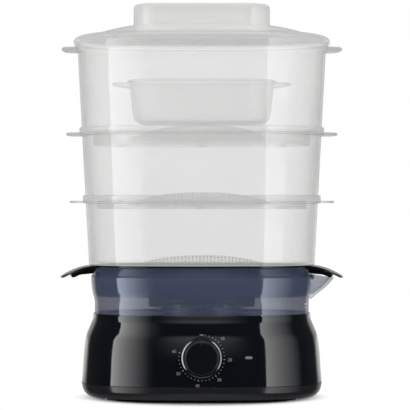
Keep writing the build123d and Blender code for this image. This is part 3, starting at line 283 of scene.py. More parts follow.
def ring_y(radius, y, z, steps):
    """A round loop that faces along Y, in the middle plane."""
    turns = [2 * math.pi * i / steps for i in range(steps)]
    return [(radius * math.cos(a), y, z + radius * math.sin(a)) for a in turns]


def bar_y(radius, front, back, z, steps=48):
    """A round cutter along Y."""
    return loft("cutter", [ring_y(radius, y, z, steps) for y in (front, back)])


def spun_y(name, points, material, closed=False):
    """Turn a section of (radius, y) about the dial's axis."""
    return loft(name, [ring_y(r, y, DIAL_Z, DIAL_STEPS) for r, y in points], material, closed)


# -------- materials
COAT_ROUGHNESS = 0.05
GRAIN_SCALE, GRAIN_DEPTH = 900.0, 0.0001
WAVE_SCALE, WAVE_DEPTH = 14.0, 0.001
MOTTLED, CLEAR_MOTTLED = 9.0, 7.0
SHADE_LEFT = 0.3


def feed(tree, node, inputs):
    """Give a node's inputs their values, or link them from sockets."""
    for name, value in inputs.items():
        if isinstance(value, bpy.types.NodeSocket):
            tree.links.new(value, node.inputs[name])
        else:
            node.inputs[name].default_value = value


def add_node(tree, kind, inputs=None, **settings):
    """A new shader node with its settings and its inputs."""
    node = tree.nodes.new("ShaderNode" + kind)
    for name, value in settings.items():
        setattr(node, name, value)
    feed(tree, node, inputs or {})
    return node


def shader(name):
    """A new material, its node tree, its main shader and the place on the object."""
    mat = bpy.data.materials.new(name)
    mat.use_nodes = True
    tree = mat.node_tree
    return mat, tree, tree.nodes["Principled BSDF"], add_node(tree, "TexCoord").outputs["Object"]


def noise(tree, place, scale, detail, rough=0.5):
    """Soft noise, from 0 to 1."""
    inputs = {"Vector": place, "Scale": scale, "Detail": detail, "Roughness": rough}
    return add_node(tree, "TexNoise", inputs).outputs["Fac"]


def ranged(tree, value, low, high, start=0.0, end=1.0, kind="LINEAR"):
    """A value from start..end, mapped to low..high."""
    inputs = {"Value": value, "From Min": start, "From Max": end, "To Min": low, "To Max": high}
    return add_node(tree, "MapRange", inputs, interpolation_type=kind).outputs["Result"]


def spread(tree, fac, low, high):
    """Noise, which keeps near its middle, stretched over low..high."""
    return ranged(tree, fac, low, high, 0.3, 0.7)


def eased(tree, value, start, end):
    """0 at start, 1 at end, with a soft beginning and finish."""
    return ranged(tree, value, 0.0, 1.0, start, end, "SMOOTHSTEP")


def tint(tree, fac, dark, light):
    """A colour that drifts between a dark and a light one."""
    inputs = {"A": (*dark, 1), "B": (*light, 1), "Factor": spread(tree, fac, 0.0, 1.0)}
    return add_node(tree, "Mix", inputs, data_type="RGBA").outputs["Result"]


def bump(tree, bsdf, fac, strength, distance):
    """Let a height roughen a shader's surface."""
    node = add_node(tree, "Bump", {"Height": fac, "Strength": strength, "Distance": distance})
    feed(tree, bsdf, {"Normal": node.outputs["Normal"]})


def maths(tree, operation, a, b=0.0):
    """The value of one math node; a and b are sockets or numbers."""
    return add_node(tree, "Math", {0: a, 1: b}, operation=operation).outputs["Value"]


def light_path(tree, *names):
    """1 for the named kinds of ray, else 0."""
    path = add_node(tree, "LightPath")
    out = path.outputs[names[0]]
    for name in names[1:]:
        out = maths(tree, "MAXIMUM", out, path.outputs[name])
    return out


def plastic(name, dark, light, rough, specular=0.5, ior=1.5, mottled=MOTTLED, grain=0.0, wave=0.0, coat=0.0):
    """Moulded plastic: a slow colour drift, uneven gloss, and a fine grain or slow sink waves."""
    mat, tree, bsdf, place = shader(name)
    slow, uneven = noise(tree, place, mottled, 2.0), noise(tree, place, mottled * 5, 4.0)
    feed(tree, bsdf, {"Base Color": tint(tree, slow, dark, light), "Roughness": spread(tree, uneven, *rough),
                      "IOR": ior, "Specular IOR Level": specular, "Coat Weight": coat,
                      "Coat Roughness": COAT_ROUGHNESS})
    if grain:
        bump(tree, bsdf, noise(tree, place, GRAIN_SCALE, 2.0), grain, GRAIN_DEPTH)
    elif wave:
        bump(tree, bsdf, noise(tree, place, WAVE_SCALE, 1.0), wave, WAVE_DEPTH)
    return mat


def clear(name, dark, light, rough, alpha, edge, specular=0.5, ior=1.5, sharp=3.0, sheen=(1.0, 1.0, 1.0)):
    """Translucent plastic, denser seen on edge; light scatters on through it, so it shades little."""
    mat = plastic(name, dark, light, rough, specular, ior, CLEAR_MOTTLED)
    tree = mat.node_tree
    layer = add_node(tree, "LayerWeight", {"Blend": 0.5})
    dense = ranged(tree, maths(tree, "POWER", layer.outputs["Facing"], sharp), alpha, edge)
    lighter = ranged(tree, light_path(tree, "Is Shadow Ray", "Is Diffuse Ray"), 1.0, SHADE_LEFT)
    feed(tree, tree.nodes["Principled BSDF"],
         {"Specular Tint": (*sheen, 1), "Alpha": maths(tree, "MULTIPLY", dense, lighter)})
    return mat


def metal(name, dark, light, rough, scale, stretch=(1, 1, 1), strength=0.0):
    """Bare or plated metal, with grinding lines where it is brushed."""
    mat, tree, bsdf, place = shader(name)
    mapping = add_node(tree, "Mapping", {"Vector": place, "Scale": stretch})
    lines = noise(tree, mapping.outputs["Vector"], scale, 4.0, 0.6)
    feed(tree, bsdf, {"Base Color": tint(tree, lines, dark, light), "Roughness": spread(tree, lines, *rough),
                      "Metallic": 1.0})
    if strength:
        bump(tree, bsdf, lines, strength, GRAIN_DEPTH)
    return mat


GLOSS_BLACK = plastic("gloss_black_look", (0.0012, 0.0026, 0.0046), (0.002, 0.0036, 0.0062), (0.06, 0.1),
                      wave=0.01, coat=1.0)
COVER_BLACK = plastic("cover_black_look", (0.011, 0.0115, 0.014), (0.015, 0.0155, 0.018), (0.16, 0.24),
                      wave=0.02, coat=0.3)
TRAY_BLACK = plastic("tray_black_look", (0.003, 0.0033, 0.004), (0.005, 0.0054, 0.0062), (0.12, 0.18),
                     wave=0.02, coat=0.6)
KNOB_BLACK = plastic("knob_black_look", (0.002, 0.0032, 0.0052), (0.0032, 0.0045, 0.0068), (0.3, 0.38),
                     specular=0.3, grain=0.08)
KNOB_SIDE = plastic("knob_side_look", (0.02, 0.024, 0.028), (0.03, 0.034, 0.038), (0.3, 0.4), grain=0.1)
RUBBER = plastic("rubber_look", (0.012, 0.012, 0.012), (0.02, 0.02, 0.02), (0.7, 0.85), specular=0.3,
                 grain=0.25)
SEAL = plastic("seal_look", (0.48, 0.47, 0.44), (0.6, 0.59, 0.55), (0.5, 0.6), grain=0.1)
GROMMET = plastic("grommet_look", (0.008, 0.008, 0.009), (0.014, 0.014, 0.015), (0.45, 0.6), grain=0.2)
WHITE_BLOCK = plastic("block_look", (0.6, 0.59, 0.55), (0.7, 0.69, 0.65), (0.4, 0.5), grain=0.08)
TIMER_CASE = plastic("timer_case_look", (0.55, 0.54, 0.5), (0.66, 0.65, 0.61), (0.4, 0.5), grain=0.08)
CERAMIC = plastic("ceramic_look", (0.6, 0.58, 0.52), (0.72, 0.7, 0.65), (0.35, 0.5), grain=0.12)
LEADS = plastic("lead_look", (0.45, 0.44, 0.4), (0.56, 0.55, 0.5), (0.4, 0.5), grain=0.05)
POINTER = plastic("pointer_look", (0.025, 0.027, 0.03), (0.035, 0.038, 0.042), (0.4, 0.5), grain=0.05)
PRINT = plastic("dial_print_look", (0.22, 0.225, 0.235), (0.3, 0.305, 0.315), (0.5, 0.6), specular=0.2,
                grain=0.05)
LEVEL_PRINT = plastic("level_print_look", (0.62, 0.65, 0.7), (0.74, 0.77, 0.82), (0.5, 0.6), grain=0.05)
LENS = plastic("lens_look", (0.15, 0.155, 0.16), (0.21, 0.215, 0.22), (0.12, 0.2), grain=0.03)
CHROME = metal("chrome_look", (0.23, 0.238, 0.25), (0.3, 0.308, 0.32), (0.14, 0.22), 200.0)
STEEL = metal("steel_look", (0.42, 0.42, 0.43), (0.56, 0.56, 0.57), (0.25, 0.4), 220.0, (1, 14, 1), 0.1)
SHEATH = metal("sheath_look", (0.36, 0.36, 0.37), (0.5, 0.5, 0.5), (0.35, 0.5), 150.0, (1, 1, 10), 0.1)
BRASS = metal("brass_look", (0.5, 0.36, 0.13), (0.62, 0.46, 0.18), (0.25, 0.38), 160.0, (10, 1, 10), 0.1)
GLASS = clear("lamp_glass_look", (0.75, 0.7, 0.66), (0.85, 0.8, 0.76), (0.05, 0.1), 0.2, 0.6)
BLUE_SHEEN = (0.8, 0.87, 1.0)
TANK_TINT = clear("tank_tint_look", (0.06, 0.075, 0.13), (0.073, 0.091, 0.15), (0.08, 0.12), 0.7, 0.76,
                  specular=1.0, ior=1.75, sheen=BLUE_SHEEN)
TANK_RIM = clear("tank_rim_look", (0.04, 0.05, 0.088), (0.05, 0.062, 0.104), (0.14, 0.2), 0.72, 0.8,
                 specular=0.6, ior=1.55, sheen=BLUE_SHEEN)
SPOUT_TINT = clear("spout_tint_look", (0.1, 0.16, 0.36), (0.12, 0.19, 0.4), (0.08, 0.12), 0.26, 0.6, ior=1.6,
                   sheen=BLUE_SHEEN)
RING_GREY = clear("steam_ring_look", (0.14, 0.15, 0.18), (0.19, 0.2, 0.23), (0.3, 0.4), 0.5, 0.7)
BOWL = clear("bowl_look", (0.66, 0.66, 0.65), (0.72, 0.72, 0.71), (0.05, 0.08), 0.17, 0.68, specular=1.0,
             ior=1.8)
# denser plastic for the thicker moulding, in a darker grey: painted shade on the rims and under the finger tabs
BOWL_DENSE_PAINTED_SHADE = clear("bowl_dense_painted_shade_look", (0.42, 0.42, 0.413), (0.48, 0.48, 0.472), (0.12, 0.18), 0.3, 0.75,
                   sharp=1.5)
FLOOR = clear("floor_look", (0.66, 0.66, 0.65), (0.74, 0.74, 0.73), (0.14, 0.22), 0.24, 0.02, sharp=2.0)
# the walls of the holes in a darker grey: painted shade inside the perforations
FLOOR_HOLE_SHADE = clear("floor_hole_painted_shade_look", (0.44, 0.44, 0.43), (0.52, 0.52, 0.51), (0.2, 0.3), 0.04, 0.3, sharp=2.0)
SOUP = clear("soup_look", (0.76, 0.76, 0.75), (0.82, 0.82, 0.81), (0.1, 0.15), 0.18, 0.7, specular=0.8, ior=1.6)
LID = clear("lid_look", (0.7, 0.7, 0.69), (0.76, 0.76, 0.75), (0.08, 0.13), 0.46, 0.85, specular=0.8, ior=1.6)
LID_BRIM = clear("lid_brim_look", (0.6, 0.6, 0.59), (0.66, 0.66, 0.65), (0.08, 0.13), 0.28, 0.8, specular=0.8,
                 ior=1.6)
LID_SKIRT = clear("lid_skirt_look", (0.78, 0.78, 0.77), (0.84, 0.84, 0.83), (0.08, 0.13), 0.06, 0.3)

for look, names in (
    (RUBBER, "feet"),
    (STEEL, "case_screws heater_cup heater_clamp heater_screws timer_bell timer_screws"),
    (GROMMET, "cord_inlet"),
    (WHITE_BLOCK, "terminal_block lamp_holder"),
    (SEAL, "heater_seal"),
    (SHEATH, "heating_element"),
    (CERAMIC, "boil_dry_thermostat thermal_fuse"),
    (RING_GREY, "steam_ring"),
    (TIMER_CASE, "timer_body"),
    (BRASS, "timer_shaft"),
    (LENS, "indicator_lens"),
    (GLASS, "indicator_lamp"),
    (LEADS, "internal_leads"),
):
    for name in names.split():
        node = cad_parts[name]
        if not node.material_slots:
            node.data.materials.append(None)
        for slot in node.material_slots:
            slot.material = look


def stand_for(obj, node, body):
    """A piece that shows a CAD node, riding on its body."""
    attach(obj, body)
    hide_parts(node)


def dress(obj, body):
    """An extra piece on a body."""
    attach(obj, body)


def span(node):
    """Lowest and highest height of a CAD node, in millimetres."""
    low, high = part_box(node)
    return low[2] / MM, high[2] / MM


# -------- base
cover_low, cover_top = span("bottom_cover")
housing_top = span("base_housing")[1]
DIAL_Z = 45.7
FOOT_X, FOOT_Y, FOOT_SOCKET_RADIUS = 77.94, 65.98, 9.2
HOUSING_PROUD, SEAT_PROUD = 2.7, 1.5
KNOB_BACK = -(HALF_DEPTH + HOUSING_PROUD + SEAT_PROUD)
SEAT_FRONT, SEAT_ROOT, SEAT_RADIUS = KNOB_BACK + 0.3, -106.6, 20.5
SHAFT_HOLE_RADIUS = 5.0
INLET_RADIUS, INLET_Z = 7.2, 30.0
LENS_X, LENS_HALF_LONG, LENS_ROUND, LENS_STEPS = 46.6, 2.35, 1.5, 32
HOUSING_SIDE = [(3.2, 16.5), (3.1, 18.5), (2.75, 24.0), (2.25, 31.0), (1.3, 46.0), (-0.3, 59.0), (-1.6, 65.5),
                (-3.9, 71.2), (-5.6, 75.2), (-7.1, 78.8), (-7.65, 80.4), (-8.1, 83.0), (-8.45, 86.0)]

section = fillet([(-8.0, cover_low, 0), (-2.6, cover_low, 3.0), (0.9, cover_low + 3.4, 3.0),
                  (2.5, cover_low + 6.9, 4.0), (3.7, cover_top, 0.6), (1.1, cover_top, 0.4),
                  (-0.6, cover_low + 7.0, 2.0), (-5.2, cover_low + 3.0, 1.0), (-8.0, cover_low + 3.0, 0)],
                 closed=False)
cover = loft("bottom_cover_shell", [oval(o, z) for o, z in section], COVER_BLACK)
for y in (FOOT_Y, -FOOT_Y):
    for x in (FOOT_X, -FOOT_X):
        socket = [circle(FOOT_SOCKET_RADIUS, cover_low + rise, x, y) for rise in (-1, 2)]
        cut(cover, loft("cutter", socket))
stand_for(cover, "bottom_cover", "base")


def lens_window(y):
    """Outline of the indicator's window at a depth, turned round the front arc to its place."""
    turn = math.asin(LENS_X / FRONT_RADIUS)
    c, s = math.cos(turn), math.sin(turn)
    deep = y + BACK_ARC_Y
    loop = []
    for i in range(LENS_STEPS):
        a = 2 * math.pi * (i + 0.5) / LENS_STEPS
        x = math.copysign(LENS_HALF_LONG, math.cos(a)) + LENS_ROUND * math.cos(a)
        loop.append((c * x - s * deep, s * x + c * deep - BACK_ARC_Y, LENS_ROUND * math.sin(a) + DIAL_Z))
    return loop


section = spline(HOUSING_SIDE)
section += [(-8.8, housing_top), (-23.5, housing_top), (-23.5, housing_top - 2.8), (-11.3, housing_top - 2.8),
            (-10.6, 80.0), (-7.2, 72.0), (-4.3, 65.5), (-1.3, 44.5), (-0.1, 16.5)]
housing = loft("base_housing_shell", [oval(o, z) for o, z in section], GLOSS_BLACK, closed=True)
cut(housing, bar_y(SEAT_RADIUS, SEAT_FRONT, SEAT_ROOT, DIAL_Z, DIAL_STEPS), "UNION")
cut(housing, bar_y(SHAFT_HOLE_RADIUS, SEAT_FRONT - 5, -95, DIAL_Z))
cut(housing, bar_y(INLET_RADIUS, 100, 115, INLET_Z))
cut(housing, loft("cutter", [lens_window(-125.0), lens_window(-95.0)]))
stand_for(housing, "base_housing", "base")

# -------- knob
KNOB_FRONT = KNOB_BACK - 10.2
KNOB_INSIDE = KNOB_FRONT + 1.8
FACE_RADIUS = 15.8
face = [(0.0, KNOB_FRONT + 0.6), (6.0, KNOB_FRONT + 0.52), (12.0, KNOB_FRONT + 0.2), (14.6, KNOB_FRONT + 0.05)]
side = [(15.4, KNOB_FRONT + 0.05), (15.95, KNOB_FRONT + 0.35), (16.2, KNOB_FRONT + 0.9),
        (16.5, KNOB_FRONT + 2.4), (17.4, KNOB_FRONT + 6.6), (18.3, KNOB_BACK - 0.4), (18.4, KNOB_BACK)]
hollow = [(16.6, KNOB_BACK), (14.4, KNOB_INSIDE), (5.5, KNOB_INSIDE), (5.5, KNOB_BACK), (3.05, KNOB_BACK),
          (3.05, KNOB_INSIDE), (0.0, KNOB_INSIDE)]
knob = spun_y("timer_knob_body", face + side + hollow, KNOB_BLACK)
knob.data.materials.append(KNOB_SIDE)
for polygon in knob.data.polygons:
    x, y, z = polygon.center
    if math.hypot(x, z - DIAL_Z * MM) > FACE_RADIUS * MM:
        polygon.material_index = 1
stand_for(knob, "timer_knob", "knob")

POINTER_FRONT, POINTER_THICK = KNOB_FRONT - 0.12, 0.5
stroke = [(-0.45, DIAL_Z + 12.9), (0.45, DIAL_Z + 12.9), (0.45, DIAL_Z + 16.0), (-0.45, DIAL_Z + 16.0)]
loops = [[(x, POINTER_FRONT + deep, z) for x, z in stroke] for deep in (0, POINTER_THICK)]
dress(loft("knob_pointer", loops, POINTER), "knob")

ring_front = KNOB_BACK - 2.4
trim = [(18.5, KNOB_BACK), (19.95, KNOB_BACK), (19.95, ring_front + 0.85), (18.6, ring_front),
        (18.5, ring_front)]
trim = fillet([(r, y, 0.1) for r, y in trim])
stand_for(spun_y("knob_trim_ring", trim, CHROME, closed=True), "knob_ring", "knob")

# -------- dial marks, printed on the housing
SCALE_RADIUS, NUMBER_RADIUS, NUMBER_SIZE = 22.6, 28.0, 4.3
SCALE_DEGREES, SCALE_MINUTES = 283.0, 60
INK_PROUD, INK_SUNK, TICK_WIDE = 0.18, 0.06, 0.8
# the housing's side as (height, offset); below the dial its slope there runs straight on
PRINTED_SIDE = [(13.0, 3.45)] + [(height, offset) for offset, height in HOUSING_SIDE[2:8]]


def print_y(x, z, lift):
    """Y of a point that stands off the housing's front by a lift; a negative lift lies in it."""
    return front_y(x, line_at(PRINTED_SIDE, z)) - lift


def turned_bar(angle, radius, long, wide):
    """A short bar across the dial's circle, at an angle clockwise from the top."""
    a = math.radians(angle)
    ux, uz = math.sin(a), math.cos(a)
    vx, vz = math.cos(a), -math.sin(a)
    u, v = long / 2, wide / 2
    out = []
    for du, dv in ((-u, -v), (-u, v), (u, v), (u, -v)):
        out.append((ux * (radius + du) + vx * dv, DIAL_Z + uz * (radius + du) + vz * dv))
    return out


def dial_ticks():
    """A stroke at zero, and a tick every two minutes, longer at each ten."""
    bars = [turned_bar(0, SCALE_RADIUS, TICK_WIDE, 3.6)]
    for minute in range(2, SCALE_MINUTES + 1, 2):
        long = 1.9 if minute % 10 == 0 else 0.9
        bars.append(turned_bar(SCALE_DEGREES * minute / SCALE_MINUTES, SCALE_RADIUS, long, TICK_WIDE))
    verts, faces = [], []
    for bar in bars:
        layers = [[(x, print_y(x, z, lift), z) for x, z in bar] for lift in (INK_PROUD, -INK_SUNK)]
        add_prism(verts, faces, *layers)
    return new_object("dial_ticks", verts, faces, PRINT, smooth=30)


def dial_number(minute):
    """A number that stands upright beside its tick, bent to the housing's front."""
    angle = math.radians(SCALE_DEGREES * minute / SCALE_MINUTES)
    curve = bpy.data.curves.new("number", "FONT")
    curve.body = str(minute)
    curve.size = NUMBER_SIZE * MM
    curve.align_x, curve.align_y = "CENTER", "CENTER"
    text = bpy.data.objects.new("number", curve)
    bpy.context.collection.objects.link(text)
    bpy.context.view_layer.update()
    mesh = bpy.data.meshes.new_from_object(text.evaluated_get(bpy.context.evaluated_depsgraph_get()))
    bm = bmesh.new()
    bm.from_mesh(mesh)
    cx, cz = NUMBER_RADIUS * math.sin(angle), DIAL_Z + NUMBER_RADIUS * math.cos(angle)
    extruded = bmesh.ops.extrude_face_region(bm, geom=bm.faces[:])
    upper = {v for v in extruded["geom"] if isinstance(v, bmesh.types.BMVert)}
    for v in bm.verts:
        x, z = cx + v.co.x / MM, cz + v.co.y / MM
        y = print_y(x, z, -INK_SUNK if v in upper else INK_PROUD)
        v.co = Vector((x * MM, y * MM, z * MM))
    bmesh.ops.recalc_face_normals(bm, faces=bm.faces)
    bm.to_mesh(mesh)
    bm.free()
    mesh.materials.clear()
    mesh.materials.append(PRINT)
    number = bpy.data.objects.new("dial_number_%d" % minute, mesh)
    bpy.context.collection.objects.link(number)
    bpy.data.objects.remove(text)
    return number


dress(dial_ticks(), "base")
for minute in range(10, SCALE_MINUTES + 1, 10):
    dress(dial_number(minute), "base")

# -------- water tank with its spout
TANK_WELL_TOP, TANK_WELL_LOW = 92.9, 90.1
HEATER_HOLE_RADIUS = 42.0
SPOUT_X = 112.5
SPOUT_RIM_Z, SPOUT_FALL = 126.2, math.radians(9)
SPOUT_WALL, SPOUT_FLOOR, SPOUT_MOUTH_LOW = 2.3, 1.6, 125.6
SPOUT_CONE = [(0.05, 100.4), (1.6, 101.6), (4.0, 104.0), (7.7, 107.1), (11.0, 109.5), (14.1, 111.9),
              (17.3, 114.9), (19.9, 117.8), (21.8, 119.8), (23.1, 121.4), (24.0, 123.0), (24.7, 125.0),
              (25.2, 127.5)]
TANK_FUNNEL_OFFSET = -11.1
SPOUT_FROM_X, SPOUT_LOW_FROM_X, SPOUT_LOW_Z = HALF_WIDTH - 6.0, HALF_WIDTH - 9.5, 122.0
TANK_RIM_Z = 124.3
LEVEL_IN, LEVEL_OUT, LEVEL_HALF_TALL, LEVEL_PARTS = 70.15, 70.35, 0.3, 5
LEVEL_MIDDLE, LEVEL_ARC_RADIUS = -math.radians(14.5), 70.2
LEVEL_MARKS = ((97.0, 13.0), (93.6, 6.0))

tank_low, tank_top = span("water_tank")
outer = spline([(-9.8, tank_low), (-9.8, 93.0), (-9.7, 98.6), (-9.0, 102.6), (-7.5, 108.6), (-6.7, 114.0),
                (-6.2, 120.0), (-6.15, 124.2)])
collar = [(-6.3, 124.85), (-6.6, 125.4), (-7.05, 125.8), (-7.55, 126.0), (-7.65, 126.4)]
collar += spline([(-7.7, 127.2), (-8.4, 130.2), (-9.3, 133.2)])
section = outer + collar
section += [(-9.9, tank_top - 0.4), (-10.3, tank_top), (-12.0, tank_top), (-12.2, tank_top - 0.6),
            (-11.2, 129.0), (-9.9, 125.0), (-8.8, 120.0), (-9.3, 114.0), (-10.1, 108.6), (-11.6, 102.6),
            (-12.4, 98.6), (-12.4, 94.2), (-13.2, TANK_WELL_TOP)]
loops = [oval(o, z) for o, z in section]
loops += [circle(HEATER_HOLE_RADIUS, TANK_WELL_TOP), circle(HEATER_HOLE_RADIUS, TANK_WELL_LOW),
          oval(-12.6, TANK_WELL_LOW), oval(-12.4, tank_low)]
tank = loft("water_tank_shell", loops, TANK_TINT, closed=True)


def spout_top(x):
    """Height of the spout's slanted rim."""
    return SPOUT_RIM_Z - (x - SPOUT_X) * math.tan(SPOUT_FALL)


def spout_cutter(rings, slanted):
    """A turned form at the spout's axis, which may end at the slanted rim."""
    loops = [circle(r, z, SPOUT_X) for r, z in rings]
    if slanted:
        loops = [[(x, y, min(z, spout_top(x))) for x, y, z in loop] for loop in loops]
        loops.append([(x, y, spout_top(x)) for x, y, z in circle(rings[-1][0], 0, SPOUT_X)])
    return loft("cutter", loops)


funnel = spout_cutter(SPOUT_CONE, slanted=True)
cut(funnel, loft("cutter", [oval(TANK_FUNNEL_OFFSET, tank_low - 1), oval(TANK_FUNNEL_OFFSET, tank_top + 1)]))
cut(tank, funnel, "UNION")
inner = [(max(r - SPOUT_WALL, 0.05), z + SPOUT_FLOOR) for r, z in SPOUT_CONE[2:]] + [(24.0, 130.0)]
hollow = spout_cutter(inner, slanted=False)
cut(hollow, loft("cutter", [circle(30, SPOUT_MOUTH_LOW, SPOUT_X), circle(30, 140, SPOUT_X)]))
cut(tank, hollow, smooth=32)
tank.data.materials.clear()
for look in (TANK_TINT, SPOUT_TINT, TANK_RIM):
    tank.data.materials.append(look)
for polygon in tank.data.polygons:
    x, y, z = polygon.center / MM
    if x > SPOUT_FROM_X or x > SPOUT_LOW_FROM_X and z < SPOUT_LOW_Z:
        polygon.material_index = 1
    elif z > TANK_RIM_Z:
        polygon.material_index = 2
stand_for(tank, "water_tank", "base")


def level_marks():
    """Two short lines, of (height, length), round the tank's front right corner."""
    verts, faces = [], []
    for z, long in LEVEL_MARKS:
        low, high = z - LEVEL_HALF_TALL, z + LEVEL_HALF_TALL
        base = len(verts)
        for k in range(LEVEL_PARTS + 1):
            a = LEVEL_MIDDLE + long / LEVEL_ARC_RADIUS * (k / LEVEL_PARTS - 0.5)
            for r, edge in ((LEVEL_OUT, low), (LEVEL_OUT, high), (LEVEL_IN, high), (LEVEL_IN, low)):
                verts.append((CORNER_X + r * math.cos(a), -CORNER_Y + r * math.sin(a), edge))
        for here in range(base, base + 4 * LEVEL_PARTS, 4):
            for i in range(4):
                j = (i + 1) % 4
                faces.append((here + i, here + j, here + 4 + j, here + 4 + i))
        for end in (base, base + 4 * LEVEL_PARTS):
            faces.append(tuple(range(end, end + 4)))
    return new_object("tank_level_marks", verts, faces, LEVEL_PRINT)


dress(level_marks(), "base")

# -------- drip tray
WINDOWS, WINDOW = 8, [(27.0, -7.0), (35.0, -7.0), (35.0, 7.0), (27.0, 7.0)]

tray_low, tray_top = span("drip_tray")
section = fillet([(-9.4, tray_top - 1.2, 0.3), (-9.4, tray_top, 0.5), (-14.4, tray_top, 0.6),
                  (-16.9, tray_low + 2.0, 2.5), (-24.0, tray_low + 2.0, 0)], closed=False)
loops = [oval(o, z) for o, z in section]
chimney = [(33.5, 2.0), (32.2, 2.6), (32.0, 3.6), (32.0, 15.0), (31.0, 16.0), (0.5, 16.0), (0.5, 14.0),
           (30.0, 14.0), (30.0, 0.0)]
loops += [circle(r, tray_low + rise) for r, rise in chimney]
section = fillet([(-22.5, tray_low, 0), (-15.1, tray_low, 2.5), (-12.7, tray_top - 1.2, 0.4),
                  (-9.4, tray_top - 1.2, 0.3)], closed=False)
loops += [oval(o, z) for o, z in section[:-1]]
tray = loft("drip_tray_dish", loops, TRAY_BLACK, closed=True)
for k in range(WINDOWS):
    a = 2 * math.pi * k / WINDOWS
    cut(tray, loft("cutter", [turned(WINDOW, a, tray_low + rise) for rise in (7.0, 13.0)]))
stand_for(tray, "drip_tray", "drip_tray")

GRIP_HALF_DEPTH, GRIP_CORNER = 46.0, 14.0
GRIP_ROOT, GRIP_REACH, GRIP_THIN = -11.5, 25.5, 2.3
WEB_HALF_DEPTH, WEB_FADE = 42.0, 5.0
GRIP_COLUMNS, GRIP_ROWS = 44, 40
GRIP_TOP = spline([(-11.5, tray_top - 0.05), (-9.0, tray_top - 0.1), (-5.0, 135.75), (0.0, 135.1), (5.0, 134.0),
                   (10.0, 132.4), (14.5, 130.5), (20.0, 127.8), (25.5, 124.6)])
GRIP_LOW = spline([(-11.5, 134.6), (-9.0, 133.2), (-6.4, 128.2), (-3.0, 127.5), (2.0, 127.0), (6.0, 126.6),
                   (9.0, 125.6), (12.0, 124.1), (14.4, 123.7), (15.4, 124.6), (16.2, 126.6), (17.6, 126.6),
                   (21.0, 125.0), (24.6, 122.9)])


def grip(name, facing):
    """Arched grip: a thin lip that curves down and out, over a rounded web."""
    loops = []
    for j in range(GRIP_ROWS + 1):
        y = GRIP_HALF_DEPTH * (-1 + 2 * j / GRIP_ROWS)
        shrink = corner_shrink(GRIP_HALF_DEPTH - abs(y), GRIP_CORNER)
        web = min(max((WEB_HALF_DEPTH - abs(y)) / WEB_FADE, 0.0), 1.0)
        web = web * web * (3 - 2 * web)
        tops, lows = [], []
        for i in range(GRIP_COLUMNS + 1):
            u = i / GRIP_COLUMNS
            reach = GRIP_ROOT + u * (GRIP_REACH - shrink - GRIP_ROOT)
            x = side_x(reach, y)
            z = line_at(GRIP_TOP, reach)
            thin = z - GRIP_THIN + 0.5 * max(u - 0.85, 0) / 0.15
            thick = min(line_at(GRIP_LOW, reach), thin)
            under = thin * (1 - web) + thick * web
            edge = max(0.0, (u - 0.97) / 0.03)
            middle = (z + under) / 2
            tops.append((facing * x, y, z * (1 - edge) + (middle + 0.25) * edge))
            lows.append((facing * x, y, under * (1 - edge) + (middle - 0.25) * edge))
        loops.append(tops + lows[::-1])
    return loft(name, loops, TRAY_BLACK, smooth=50)


SIDES = (("right", 1), ("left", -1))
for label, facing in SIDES:
    dress(grip("tray_grip_" + label, facing), "drip_tray")

# -------- bowls
LIP_REACH, LIP_THICK, LIP_HEIGHT, LIP_UNDER = 2.8, 1.5, 6.2, 2.0
BOWL_WALL, WELL_INSET = 2.0, 11.5
BOWL_WELLS = {"bowl_1": 8.0, "bowl_2": 8.0, "bowl_3": 12.0}
LONG_EDGE, EDGE_PARTS = 20, 5
LUG_OUTLINE = [(1.0, -5.0), (-4.6, -5.0), (-6.0, -3.6), (-6.0, 3.6), (-4.6, 5.0), (1.0, 5.0)]
LUG_LOW, LUG_TOP = 0.05, 2.0


def wall_offset(z):
    """Offset of the bowls' walls at a height; they lean out by three degrees."""
    return -3.8 + math.tan(math.radians(3.0)) * (z - 136.4)


def tab(name, material, offsets, half_depth, corner, low, thick, facing, rows=48, root_drop=0.0):
    """Flat finger tab with a rounded edge at one end of a rim; offsets are of its end and its root."""
    loops = []
    r = thick / 2
    for j in range(rows + 1):
        y = half_depth * math.sin(math.pi / 2 * (-1 + 2 * j / rows))
        x_out = side_x(offsets[0], y) - corner_shrink(half_depth - abs(y), corner)
        x_in = side_x(offsets[1], y)
        loop = [(x_in, low - root_drop), (x_in, low + thick)]
        for k in range(EDGE_STEPS + 1):
            a = math.pi / 2 - math.pi * k / EDGE_STEPS
            loop.append((max(x_out - r + r * math.cos(a), x_in), low + r + r * math.sin(a)))
        loops.append([(facing * x, y, z) for x, z in loop])
    return loft(name, loops, material, smooth=50)


def lug_points(offset):
    """Places round the plan for eight lugs, each with its turn in degrees."""
    diagonal = (CORNER_RADIUS + offset) * math.sqrt(0.5)
    points = [(HALF_WIDTH + offset, 0, 0), (0, HALF_DEPTH + offset, 90), (-HALF_WIDTH - offset, 0, 180),
              (0, -HALF_DEPTH - offset, 270)]
    for sx in (-1, 1):
        for sy in (-1, 1):
            points.append((sx * (CORNER_X + diagonal), sy * (CORNER_Y + diagonal),
                           math.degrees(math.atan2(sy, sx))))
    return points


def floor_lugs(name, offset, low):
    """Eight lugs inside a bowl's well, which carry its floor."""
    verts, faces = [], []
    for x, y, turn in lug_points(offset):
        layers = [turned(LUG_OUTLINE, math.radians(turn), low + rise, x, y) for rise in (LUG_LOW, LUG_TOP)]
        add_prism(verts, faces, *layers)
    return new_object(name + "_floor_lugs", verts, faces, BOWL)


def thicken(obj, low, high):
    """Give the faces that look up or down between two heights, where the moulding is thick, denser plastic; its
    darker colour is painted shade along the rim.
    """
    obj.data.materials.append(BOWL_DENSE_PAINTED_SHADE)
    for polygon in obj.data.polygons:
        if abs(polygon.normal.z) > 0.35 and low * MM < polygon.center.z < high * MM:
            polygon.material_index = 1


